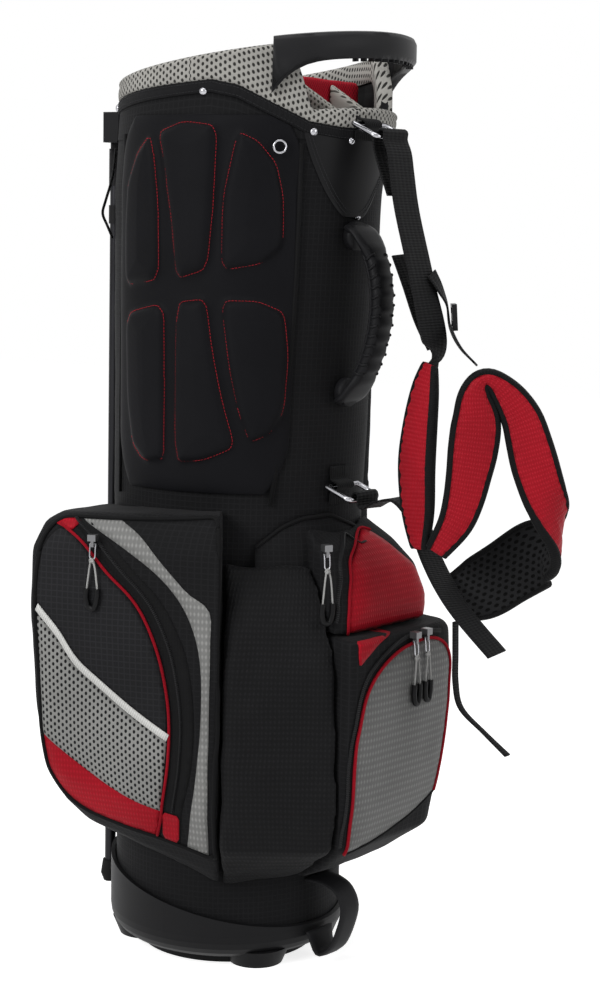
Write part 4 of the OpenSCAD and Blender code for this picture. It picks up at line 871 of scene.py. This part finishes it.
panel("apparel_zip_top_tab", [(-121, 432), (-104, 438), (-93, 434), (-102, 425)], apparel_ground, red_cloth,
      lift=0.0016, puff=0.0003, rounds=1, spacing=3)
panel("apparel_zip_foot_tab", [(-11, 166), (6, 163), (3, 135), (-13, 139)], apparel_ground, red_cloth,
      lift=0.0022, puff=0.0003, rounds=1, spacing=3)
seam("apparel_red_piping", apparel_pipe, apparel_ground, 0.0018, 0.0014, red_piping)
seam("apparel_front_piping", front_edge, apparel_ground, 0.0012, 0.0021)
seam("apparel_top_piping", [(-133, 400), (-128, 420), (-116, 434), (-98, 437), (-60, 438), (-20, 440), (20, 443),
                            (45, 445)], apparel_ground, 0.0012, 0.0021)
seam("apparel_seam_piping", [(46, 440), (46, 360), (45, 270), (42, 200), (39, 124)], apparel_ground, 0.001, 0.0022)


def zip_coil(name, spots, ground, lift=0.0022):
    """Two rows of coil teeth down the middle of a tape."""
    bead_row(name, [eased(press(even_line(spots, 2), ground, lift))], coil_nylon, pitch=0.0018,
             width=0.0042, thickness=0.0016, length=0.0011)


zip_coil("apparel_zip_coil", [(-99, 436), (-75, 419), (-50, 394), (-23, 367), (-4, 332), (6, 294), (10, 255),
                              (8, 214), (0, 168)], apparel_ground)
elastic_run = press(even_line(net_top, 4), apparel_ground, 0.0)
elastic_up = press(even_line([(s + 3, z + 6.5) for s, z in net_top], 4), apparel_ground, 0.0)
count = min(len(elastic_run), len(elastic_up))
elastic_turn = math.radians(apparel_ground[0])
elastic_out = np.array((math.cos(elastic_turn), math.sin(elastic_turn), 0))
elastic_shares = np.linspace(0, 1, 5)
elastic_rows = np.stack([elastic_run[:count] * (1 - t) + elastic_up[:count] * t
                         + elastic_out * (0.0032 + 0.0008 * math.sin(t * math.pi)) for t in elastic_shares], 1)
elastic = sewn_piece("net_elastic", elastic_rows, pairs(elastic_shares * 0.007, (np.arange(count) * 0.004)[:, None]),
                     [white_elastic], node="elastic_band", heart=(0, 0.01, 0.3))
wall(elastic, 0.0012)

# ---- Ball pocket ----
# The pocket at the foot of the spine: a grey dobby face crowned over foam, a red piping round its arch,
# and a two-way zip on a wide black tape outside the piping.
ball_pocket = padded_copy("ball_pocket", ripstop, 0.0035, 10, sink=0.0015)
accessory_pocket = padded_copy("accessory_pocket", ripstop, 0.0035, 8, sink=0.001)
spine_ground = (80, carrier_of(ball_pocket, accessory_pocket, side_pocket))
ball_ground = (80, carrier_of(ball_pocket))
ball_pipe = [(-44, 131), (-47, 165), (-48.5, 205), (-48, 250), (-35, 291), (0, 315), (42, 324), (72, 320), (88, 304),
             (93, 275), (91, 235), (87, 190), (82, 168)]
ball_foot = [(82, 168), (50, 152), (10, 140), (-25, 133), (-44, 131)]
ball_grey = fabric("ball_grey", (0.24, 0.24, 0.235), "dobby", 0.0078, under=(0.14, 0.14, 0.138), relief=0.0005,
                   rough=0.5)
panel("ball_face", np.concatenate([even_line(ball_pipe, 8), even_line(ball_foot, 8)[1:-1]]), ball_ground, ball_grey,
      puff=0.0042, edge=20)
seam("ball_red_piping", ball_pipe, ball_ground, 0.0016, 0.0016, red_piping)
seam("ball_foot_piping", ball_foot, ball_ground, 0.001, 0.0014)
zip_coil("ball_zip_coil", [(-52, 140), (-54, 200), (-53, 252), (-41, 297), (-2, 322.5), (40, 331), (74, 328)],
         spine_ground, 0.0014)

# ---- Accessory pocket ----
# A small red pocket over the ball pocket, cut from red dobby with a zip up its near side and over its
# shoulder; its cloth is slack and creased.
accessory_ground = (80, carrier_of(accessory_pocket))
red_outline = rounded_line([(34, 424), (6, 413), (-20, 398), (-35, 374), (-41, 350), (-38, 338), (20, 338), (80, 338),
                            (80, 362), (72, 385), (56, 404), (42, 420)], 1)
panel("accessory_face", red_outline, accessory_ground, red_cloth, puff=0.0035, edge=14)
seam("accessory_piping", [(42, 421), (30, 424), (4, 413), (-21, 399), (-36, 374), (-42, 350), (-39, 338)],
     accessory_ground, 0.0014, 0.0014, red_piping)
panel("accessory_red_foot", [(-47, 337.5), (-50, 324), (-49, 312), (-38, 319), (-22, 328), (-2, 334), (30, 337.5)],
      ball_ground, red_cloth, lift=0.0012, puff=0.0008, rounds=1, spacing=4)
zip_coil("accessory_zip_coil", [(20, 429), (-8, 417), (-34, 400), (-47, 374), (-51, 350)], spine_ground, 0.0014)

# ---- Garment pocket ----
# The long pocket on the side away from the hip pad: one bowed ripstop panel with a zip down its edge.
garment_pocket = padded_copy("garment_pocket", ripstop, 0.0045, 6, sink=0.003, fold=0.09)
garment_ground = (180, carrier_of(garment_pocket))
seam("garment_piping", [(48, 140), (50, 300), (48, 480), (40, 600), (0, 622), (-40, 600), (-48, 480), (-50, 300),
                        (-48, 140)], garment_ground, 0.001, 0.0018, step=5)
zip_coil("garment_zip_coil", [(41, 150), (43, 300), (41, 470), (33, 590)], garment_ground, 0.001)

# ---- Spine patch and grip ----
# A triangle of smooth vinyl is riveted under the band. The moulded grip below it is sewn in at both
# ends and has a row of S-shaped ridges for the fingers on either side.
patch_vinyl = moulded("patch_vinyl", (0.0085, 0.0085, 0.0092), 0.42, grain=0.0014, depth=0.00006)
grip_rubber = moulded("grip_rubber", (0.0085, 0.0085, 0.0095), 0.5)
spine_grip = smooth_copy("spine_grip", grip_rubber, crease=55)
spine_angles = np.linspace(60, 100, 400)


def spine_line(z):
    """The tube's outline by the spine at a height: its places, and each one's turn in degrees from the axis."""
    line = on_tube(spine_angles, z)
    return line, np.degrees(np.arctan2(line[:, 1], line[:, 0]))


def spine_reach(height):
    """How far the tube reaches out along the spine at a height, all in millimetres."""
    line, turns = spine_line(height / 1000)
    return 1000 * np.interp(80, turns, np.hypot(line[:, 0], line[:, 1]))


grip_low, grip_tall, grip_rise, grip_half = 548, 160, 37, 5.3


def grip_place(share, out):
    """A place beside the grip's middle line, by its share up the grip and how far out it is, and the line's run."""
    def line(u):
        z = grip_low + grip_tall * u
        bow = math.sin(u * math.pi) ** 0.62 * (0.86 + 0.2 * u)
        return np.array([spine_reach(z) + grip_half + grip_rise * bow, z])
    run = line(share + 0.01) - line(share - 0.01)
    run /= np.linalg.norm(run)
    return line(share) + np.array([run[1], -run[0]]) * out, run


patch_low, patch_tall, patch_radius = 0.716, 0.068, 0.118
patch_tip, patch_half = 5, 24


def patch_spot(share, across, out, inset=0.0):
    """A place on the patch, whose top reaches the band: its share up, across from -1 to 1, and inset from its edge."""
    z = patch_low + patch_tall * share
    middle = np.interp(80, spine_line(z)[1], spine_angles)
    turn = middle + across * (patch_tip + patch_half * share ** 0.7 - math.degrees(inset / patch_radius))
    to_band = max(0.0, float(band_top(turn)) - 0.0105 - patch_low - patch_tall)
    return on_tube(turn, z + inset + to_band * share ** 4, out)


patch_shares = np.linspace(0, 1, 26)
patch_grid = np.array([[patch_spot(u, v, 0.0026 if 0 < u else 0.0008) for v in np.linspace(-1, 1, 29)]
                       for u in patch_shares ** 1.5])
patch_grid[:, [0, -1]] = [[patch_spot(u, v, 0.0007) for v in (-1, 1)] for u in patch_shares ** 1.5]
patch_lay = pairs(np.linspace(-0.05, 0.05, 29), (patch_shares * 0.08)[:, None])
spine_patch = sewn_piece("spine_patch_cover", patch_grid, patch_lay, [patch_vinyl],
                         node="spine_patch", heart=(0, 0.01, 0.75))
hem_shares = np.linspace(0.94, 0.02, 24)
for row, inset in enumerate((0.0024, 0.0046)):
    hem = np.array([patch_spot(u, side, 0.0028, inset) for side, shares in ((-1, hem_shares), (1, hem_shares[::-1]))
                    for u in shares])
    bead_row(f"patch_stitches_{row}", [hem], black_thread, pitch=0.0028, width=0.0007,
             thickness=0.0005, length=0.0021)
grip_faces = carrier_of(spine_grip)
grip_ridges = []
for side, mirror in ((-10, 1), (170, -1)):
    grip_ground = (side, grip_faces)
    for share in 0.17 + 0.66 * np.arange(13) / 12:
        ridge = []
        for out, along in ((-2.4, -0.8), (-1.0, -1.5), (0.6, -1.1), (2.0, 0.3), (3.4, 1.3), (4.6, 1.0)):
            spot, run = grip_place(share, out)
            ridge.append((spot + run * along) * (mirror, 1))
        grip_ridges.append((press(even_line(ridge, 0.8), grip_ground, 0.0002), 0.0015))
    rim = [grip_place(share, -4.2)[0] * (mirror, 1) for share in np.linspace(0.1, 0.9, 60)]
    grip_ridges.append((press(rim, grip_ground, -0.0002), 0.0016))
for index, (ridge, radius) in enumerate(grip_ridges):
    piping(f"grip_ridge_{index}", eased(ridge, 4), radius, grip_rubber)

# ---- Rivets and rings ----
# Nickel-plated steel: domed rivets through the band and the patch, a rolled eyelet on the hip pad, and
# two D-rings. The webbing tabs that hold the rings are swept with the straps.
# The chrome's colour is kept dark and its slow mottle is twice the plastics': painted reflection, dark and light
# patches standing for surroundings it would mirror.
chrome = moulded("chrome", (0.36, 0.36, 0.38), 0.16, grain=0.004, depth=0.00002, scuffs_and_painted_reflection=0.2, Metallic=1.0)
finish_nodes(chrome, "eyelet")
for ring in ("upper_ring", "lower_ring"):
    smooth_copy(ring, chrome, crease=60)


def rivet(name, place, normal, radius, node=None):
    """A domed rivet head that sits on a surface."""
    turned = normal.to_track_quat("Z", "Y").to_matrix()
    dome = ((0.02, 0.56), (0.4, 0.5), (0.72, 0.34), (0.9, 0.14), (0.98, -0.02), (1, -0.2), (0.02, -0.2))
    rings = np.array([[place + turned @ Vector((r * radius * math.cos(a), r * radius * math.sin(a), h * radius))
                       for a in np.linspace(0, 2 * math.pi, 24, endpoint=False)] for r, h in dome])
    lay = pairs(np.linspace(0, 0.02, 25), np.arange(len(dome))[:, None] * 0.001)
    sewn_piece(name, rings, lay, [chrome], ring=True, capped=True, node=node)
    return place + normal * radius * 0.5


band_faces = carrier_of(collar_band)
patch_faces = carrier_of(spine_patch)
for name, carrier, radius in (("band_rivet_pad", band_faces, 0.004), ("band_rivet_patch", band_faces, 0.004),
                              ("patch_rivet_left", patch_faces, 0.0034), ("patch_rivet_right", patch_faces, 0.0034),
                              ("patch_rivet_low", patch_faces, 0.0034)):
    place, normal = image_place(image_points[name], carrier)
    rivet(name, place, normal, radius, "rivets" if carrier is band_faces else None)
for turn in (118, 171, -60, -120):
    place, normal, _, _ = band_faces.find_nearest(Vector(on_tube(turn, float(band_top(turn)) - 0.006, 0.01)))
    rivet(f"band_rivet_{turn % 360}", place, normal, 0.004)

# ---- Straps ----
# Ribbed polypropylene webbing is looped through the D-rings and sewn to the pads. A thinner strap runs
# through a ladder lock, and loose ends hang below.
spine_twist = math.radians(-10)
ring_reach, sleeve_reach, body_gap = 28, 4.55, 0.3
upper_lean, lower_lean = -24, -20
upper_bar = np.array([0, spine_reach(795) + body_gap + sleeve_reach + 4, 800])
lower_bar = np.array([0, spine_reach(452) + body_gap + sleeve_reach + 2, 468])
ribbed = fabric("ribbed_webbing", (0.012, 0.012, 0.0125), "webbing", 0.0026, under=(0.005, 0.005, 0.0055),
                relief=0.0006, rough=0.6)


def at_spine(points):
    """World places of points in millimetres in the spine's own frame: across it, out from it, up."""
    p = np.asarray(points, dtype=float)
    c, s = math.cos(spine_twist), math.sin(spine_twist)
    return np.stack([p[..., 0] * c - p[..., 1] * s, p[..., 0] * s + p[..., 1] * c, p[..., 2]], -1) / 1000


def ring_bow(bar, lean):
    """Where a D-ring's bow lies, and the directions along the ring and up from it."""
    along = np.array([0, math.cos(math.radians(lean)), math.sin(math.radians(lean))])
    return bar + ring_reach * along, along, np.array([0, -along[2], along[1]])


def looped(bar, lean, tail):
    """The run of webbing round a D-ring's bow."""
    middle, along, rise = ring_bow(bar, lean)
    return [middle + a * along + b * rise for a, b in
            ((-3.7, -tail), (-3.7, 4.4), (-1.7, 6.8), (1.5, 6.8), (3.5, 4.4), (3.9, 0))]


def swept(stops, across, width, step, rounds):
    """A band's even middle line, with the directions across it and off it, its width and its run, in metres."""
    stops = np.asarray(stops, dtype=float)
    across = np.broadcast_to(np.asarray(across, dtype=float), stops.shape)
    width = np.broadcast_to(np.asarray(width, dtype=float), len(stops))[:, None] / 1000
    run = even_line(np.concatenate([stops, across * 0.001, width], 1), step / 1000)
    path, side, wide = (eased(run[:, part], times) for part, times in zip((slice(0, 3), slice(3, 6), 6), rounds))
    heading = np.gradient(path, axis=0)
    heading /= np.linalg.norm(heading, axis=1)[:, None]
    side = side - heading * (side * heading).sum(1)[:, None]
    side /= np.linalg.norm(side, axis=1)[:, None]
    return path, side, np.cross(heading, side), wide, run_along(path)


def strap(name, stops, across, width, thickness, finish=ribbed, node=None, step=2.5):
    """Flat webbing in world metres, swept along its stops; across and width may change along it."""
    path, side, rise, wide, length = swept(stops, across, width, step, (1, 0, 0))
    near = [(-1, 0, 0), (-1, 0.0004, 0.7), (-1, 0.0014, 1), (-0.6, 0, 1), (-0.2, 0, 1), (0.2, 0, 1), (0.6, 0, 1),
            (1, -0.0014, 1), (1, -0.0004, 0.7)]
    columns = near + [(-u, -shift, -lift) for u, shift, lift in near]
    rings = np.stack([path + side * (u * wide / 2 + shift)[:, None] + rise * (lift * thickness / 2000)
                      for u, shift, lift in columns], 1)
    spread = np.array([u * 0.5 * float(wide.mean()) + shift for u, shift, _ in columns + columns[:1]])
    sewn_piece(name, rings, pairs(spread, length[:, None]), [finish], ring=True, capped=True, node=node)


def in_view(right, near, z):
    """A world place from its distances right and towards the front, as the shoulder pads hang."""
    return (aside * right + back * near + Vector((0, 0, z))) / 1000


spine_side = at_spine([(1000, 0, 0)])[0]
to_front = np.array(back)
pad_side = np.array(aside * 0.5 + back * 0.86)
upper_bow, _, _ = ring_bow(upper_bar, upper_lean)
lower_bow, _, _ = ring_bow(lower_bar, lower_lean)
webbing_stops = np.concatenate([at_spine([upper_bow + (0, 10, -52)] + looped(upper_bar, upper_lean, 10) + [
    upper_bow + (0, 9, -14), (0, 199, 756), (0, 206, 722), (0, 224, 663), (0, 240, 606)]), [
        in_view(178.5, 164, 584), in_view(176, 163.5, 566)]])
strap("upper_webbing_strap", webbing_stops, [spine_side] * 12 + [pad_side] * 2, [36] * 12 + [28, 20], 2.2,
      node="upper_webbing")
strap("lower_webbing_strap", at_spine(looped(lower_bar, lower_lean, 6) + [
    lower_bow + (0, 7, -8), (-4, 183, 457), (-8, 200, 460), (-14, 215, 444), (-8, 238, 408), (4, 276, 372),
    (0, 318, 334)]), spine_side, 31, 2.2, node="lower_webbing")
thin_stops = np.concatenate([at_spine([(-12, 225.9, 668), (-19, 230.4, 655), (-27, 233, 640), (-26, 238, 620)]),
                             [in_view(206, 180, 604), in_view(218, 192, 591.2)]])
thin_side = [spine_side * (1 - t) + to_front * t for t in (0, 0.35, 0.85, 1, 1, 1)]
strap("thin_strap", thin_stops, thin_side, [16, 16, 15, 14, 15, 16], 2.0, node="pad_straps")
strap("grip_tie", at_spine([(0, 200, 684), (-2, 212, 656), (-4, 224, 626), (-8, 236, 602)]), spine_side, 28, 2.2)
strap("hanging_strap", at_spine([(-29, 251, 350.2), (-29, 252, 320), (-29, 253, 293), (-29, 260, 270), (-29, 286, 252),
                                 (-29, 313, 235)]), spine_side, [9, 9, 9, 8, 7, 9], 2.0, node="ball_strap")
leg_strap_turn = -62
leg_strap_side = np.array([math.sin(math.radians(60)), math.cos(math.radians(60)), 0])
leg_strap_stops = [on_tube(leg_strap_turn, z / 1000, out / 1000)
                   for z, out in ((778, 1.8), (752, 3), (728, 9), (716, 12), (706, 8), (692, 2))]
strap("leg_strap", leg_strap_stops, leg_strap_side, 12, 1.8)
tab_webbing = fabric("tab_webbing", (0.009, 0.009, 0.0095), "knit", 0.0022, relief=0.0003, on="Object")
for name, bar, drop in (("upper", upper_bar, 9), ("lower", lower_bar, 13)):
    sewn, y, z = spine_reach(bar[2]) + 1.2, bar[1], bar[2]
    over = [(0, sewn, 5 + drop), (0, sewn + 0.6, 6), (0, y - 0.6, 4.4), (0, y + 3.3, 3)]
    stops = over + [(0, y + 4.6, 0)] + [(x, out, -rise) for x, out, rise in over[::-1]]
    strap(name + "_ring_tab", at_spine(np.array(stops) + (0, 0, z)), spine_side, 25, 1.6, tab_webbing,
          node="ring_tabs", step=1.5)
buckle_gloss = moulded("buckle_gloss", (0.011, 0.011, 0.012), 0.3, depth=0.00004)
buckle = smooth_copy("strap_buckle", buckle_gloss, crease=30, bevel=0.0006)
buckle_slide = Vector(at_spine([(0.6, 2.8, -12)])[0])
buckle.data.transform(Matrix.Translation(buckle_slide))

# ---- Shoulder pads ----
# Foam pads with a red dobby face and a black air-mesh back, bound all round in black tape that puckers
# the red cloth beside it. The right one arches over its narrow top and curls back with its mesh out.
pad_red = fabric("pad_red", (0.46, 0.012, 0.026), "dobby", 0.0046, under=(0.33, 0.006, 0.014), relief=0.0004,
                 rough=0.5, sheen=0.04, gleam=0.1)
pad_mesh = fabric("pad_mesh", (0.018, 0.018, 0.019), "net", 0.0056, under=(0.003, 0.003, 0.003), relief=0.0009,
                  rough=0.85)
pad_binding = fabric("pad_binding", (0.009, 0.009, 0.0095), "webbing", 0.0016, relief=0.0003)
binding_width, pad_thickness = 0.0052, 0.0125


def shoulder_pad(name, stops, sides, widths, node):
    """A bound pad swept along its stops, in world metres; sides point across it to its outer edge."""
    path, side, rise, wide, length = swept(stops, sides, widths, 2.8, (4, 4, 2))
    share = length / length[-1]
    plump = pad_thickness / 2 * (0.35 + 0.65 * np.sin(np.pi * share) ** 0.35)
    half = wide / 2
    rings, mark = [], []
    for i, run in enumerate(length):
        ring, spot = [], []
        inner = max(half[i] - binding_width, half[i] * 0.3)
        for face in (1, -1):
            for u in np.linspace(-1, 1, 17) * face:
                pucker = 0.0009 * math.sin(run * 2 * math.pi / 0.0095 + 2.0 * math.sin(run * 90) + (u > 0) * 1.7)
                puff = plump[i] * (0.66 + 0.34 * (1 - abs(u) ** 2.6)) + pucker * np.clip((abs(u) - 0.45) / 0.55, 0, 1)
                puff += 0.0006 * noise.noise(Vector((run * 60, u * 3, face * 7)))
                ring.append((u * inner, face * puff))
                spot.append(u * inner + (0.4 if face < 0 else 0))
            rim = face * half[i]
            tape = plump[i] * 0.66 + 0.0012
            ring += [(face * (inner + 0.0006), face * tape), (rim - face * 0.0016, face * tape * 0.8), (rim, 0),
                     (rim - face * 0.0016, -face * tape * 0.8), (face * (inner + 0.0006), -face * tape)]
            spot += [face * inner + face * k * 0.002 for k in range(5)]
        rings.append([path[i] + side[i] * a + rise[i] * b for a, b in ring])
        mark.append([(s, run) for s in spot + [spot[0]]])

    def cloth(_, j):
        return 0 if j < 16 else 1 if 22 <= j < 38 else 2

    pad = sewn_piece(name, np.array(rings), np.array(mark), [pad_red, pad_mesh, pad_binding], ring=True,
                     capped=True, which=cloth, node=node)


left_stops = ((180, 164, 588.5), (176, 163, 565), (172, 164, 530), (170, 165, 495), (172, 168, 455), (174, 170, 422))
shoulder_pad("left_pad", [in_view(*p) for p in left_stops], pad_side, (22, 38, 48, 52, 46, 24), "shoulder_pad_left")
right_stops = (
    ((188, 186, 422), 22, (-1, 0, 0.3)), ((204, 190, 448), 32, (-1, 0, 0.3)), ((211, 191, 470), 37, (-1, 0, 0.2)),
    ((215, 192, 493), 41, (-1, 0, 0.1)), ((218, 192, 515), 45, (-1, 0, 0.1)), ((220, 193, 540), 44, (-1, 0, 0.3)),
    ((218, 193, 562), 32, (-1, 0, 0.45)), ((222, 193, 576), 21, (-0.6, 0, 1)), ((232, 193, 578), 20, (0.3, 0, 1)),
    ((247, 193, 564), 30, (0.9, 0, 0.8)), ((260, 193, 544), 37, (1, 0, 0.5)), ((267, 193, 523), 41, (1, 0, 0.35)),
    ((273, 192, 503), 43, (1, 0, 0.3)), ((281, 190, 480), 42, (1, -0.1, 0.3)), ((290, 184, 458), 43, (0.8, -0.6, 0.3)),
    ((296, 175, 436), 48, (0.2, -1, 0.2)), ((295, 163, 422), 54, (-0.1, -0.8, 0.6)),
    ((284, 154, 418), 64, (-0.1, -0.2, 1)), ((258, 146, 399), 62, (-0.2, 0, 1)), ((232, 141, 381), 60, (-0.25, 0, 1)),
    ((206, 137, 370), 42, (-0.1, 0, 1)))
right_places, right_widths, right_leans = zip(*right_stops)
right_sides = [(aside * right + back * near + Vector((0, 0, up))).normalized() for right, near, up in right_leans]
shoulder_pad("right_pad", [in_view(*p) for p in right_places], right_sides, right_widths, "shoulder_pad_right")

# ---- Stand ----
# Two anodised tubes hang from a bracket on the far side of the collar. A rod down the tube joins the
# foot plate to a crosshead, whose links push the legs open when the bag leans on its foot.
leg_metal = moulded("leg_anodised", (0.02, 0.02, 0.022), 0.36, grain=0.0008, depth=0.00003, Metallic=0.9)
zinc = moulded("link_zinc", (0.34, 0.34, 0.35), 0.38, grain=0.001, depth=0.00003, Metallic=1.0)
foot_rubber = moulded("foot_rubber", (0.01, 0.01, 0.01), 0.7, grain=0.0014, depth=0.0002)
finish_nodes(leg_metal, "leg_left", "leg_right")
finish_nodes(foot_rubber, "leg_foot_left", "leg_foot_right")
finish_nodes(zinc, "link_left", "link_right", "push_rod", "hinge_pin")
finish_nodes(base_plastic, "crosshead", "rod_guides")
for side in ("left", "right"):
    smooth_copy("knuckle_" + side, base_plastic)

# ---- Zip sliders and cord pulls ----
# Dark die-cast sliders on the coils. Each carries a wire tab with a knotted loop of light-grey cord
# whose end is cased in a black rubber bow.
gunmetal = moulded("gunmetal", (0.16, 0.16, 0.165), 0.32, grain=0.001, depth=0.00003, Metallic=0.9)
finish_nodes(gunmetal, "zip_sliders")
cord_grey = fabric("cord_grey", (0.46, 0.46, 0.45), "webbing", 0.0009, relief=0.00015, rough=0.7)
bow_rubber = moulded("bow_rubber", (0.007, 0.007, 0.0075), 0.35, depth=0.00005)


def cord_pull(node, place, turn, drop, spread=1.0):
    """A wire tab, a knotted cord loop and its rubber bow, hung from a slider in its own frame."""
    c, s = math.cos(math.radians(turn)), math.sin(math.radians(turn))

    def put(points):
        p = np.asarray(points, dtype=float)
        return np.stack([p[:, 0] * c - p[:, 1] * s, p[:, 0] * s + p[:, 1] * c, p[:, 2]], -1) / 1000 + np.array(place)

    def part(name, points, radius, finish, slot, sides=10):
        rings, lay = cord_grid(put(even_line(points, 0.8)), radius, sides)
        return sewn_piece(f"{node}_{name}", rings, lay, [finish], ring=True, capped=True, body=node, node=node)

    part("pin", [(-3.3, 0, 0), (0, 0, 0), (3.3, 0, 0)], 0.0011, gunmetal, "zip_metal")
    part("tab", [(-2.6, 0.2, 0.2), (-2.7, 1.2, -6), (-2.4, 1.6, -12), (0, 1.8, -14), (2.4, 1.6, -12), (2.7, 1.2, -6),
                 (2.6, 0.2, 0.2)], 0.0007, chrome, "zip_metal")
    part("knot", [(-1.6, 2.6, -14.6), (0.4, 3.6, -13.2), (2, 2.4, -15.2), (0.2, 1.4, -17), (-1.8, 2.8, -16.4),
                  (0, 4.2, -15.2), (1.6, 3, -17)], 0.0011, cord_grey, "cord")
    bow_top = -drop + 21
    loop = [(-1.4, 2.6, -16), (-3.4 * spread, 2.9, -24), (-5.4 * spread, 3.1, bow_top),
            (-5.2 * spread, 3.1, bow_top - 9), (-2.6 * spread, 3.1, -drop + 3.2), (0.6, 3.1, -drop + 2.6),
            (4.0 * spread, 3.1, -drop + 5), (5.6 * spread, 3.1, bow_top - 8), (4.8 * spread, 3.1, bow_top),
            (2.6 * spread, 2.9, -24), (1.4, 2.6, -16)]
    cord = part("cord", loop, 0.00085, cord_grey, "cord", 12)
    bow = part("bow", loop[2:9], 0.0026, bow_rubber, "cord", 12)
    path = put(even_line(loop, 0.8))


cord_pull("apparel_pull", (0.180, -0.038, 0.416), -78, 62)
cord_pull("accessory_pull", (0.088, 0.156, 0.413), -32, 66)
cord_pull("ball_pull_left", at_spine([(-46, 206, 326)])[0], -10, 62, 0.8)
cord_pull("ball_pull_right", at_spine([(-29, 206, 325)])[0], -10, 62, 0.8)

# ---- Measurements ----
# The finished model's outermost image coordinates, and the middles of the eyelet's, the buckle's and the sliders'
# parts.
bpy.context.view_layer.update()


def shown_extent():
    """The finished model's outermost image coordinates: left, right, top and bottom."""
    graph = bpy.context.evaluated_depsgraph_get()
    found = []
    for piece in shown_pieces():
        ready = piece.evaluated_get(graph)
        shape = ready.to_mesh()
        spots = np.empty(len(shape.vertices) * 3)
        shape.vertices.foreach_get("co", spots)
        ready.to_mesh_clear()
        at = piece.matrix_world
        v = spots.reshape(-1, 3) @ np.array(at.to_3x3()).T + np.array(at.translation) - np.array(camera_place)
        if len(v):
            scale = long_side * lens / sensor_width / (v @ np.array(look))
            x = image_width / 2 + (v @ np.array(view_right)) * scale
            y = image_height / 2 - (v @ np.array(view_up)) * scale
            found.append((x.min(), x.max(), y.min(), y.max()))
    lows, highs = np.min(found, 0), np.max(found, 0)
    return lows[0], highs[1], lows[2], highs[3]


for name, edge in zip(("left_edge", "right_edge", "top_edge", "bottom_edge"), shown_extent()):
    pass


def island_middles(node):
    """The middle of each loose part of a CAD node."""
    form = bmesh.new()
    form.from_mesh(frame["nodes"][node].data)
    bmesh.ops.remove_doubles(form, verts=form.verts, dist=1e-6)
    left, middles = set(form.verts), []
    while left:
        stack = [left.pop()]
        island = list(stack)
        while stack:
            for edge in stack.pop().link_edges:
                for other in edge.verts:
                    if other in left:
                        left.remove(other)
                        stack.append(other)
                        island.append(other)
        middles.append(sum((v.co for v in island), Vector()) / len(island))
    form.free()
    return middles


slider_middles = island_middles("zip_sliders")
buckle_middles = [p + buckle_slide for p in island_middles("strap_buckle")]
for name, middles in (("eyelet", island_middles("eyelet")), ("buckle", buckle_middles),
                      ("apparel_slider", slider_middles), ("accessory_slider", slider_middles),
                      ("ball_slider", slider_middles)):
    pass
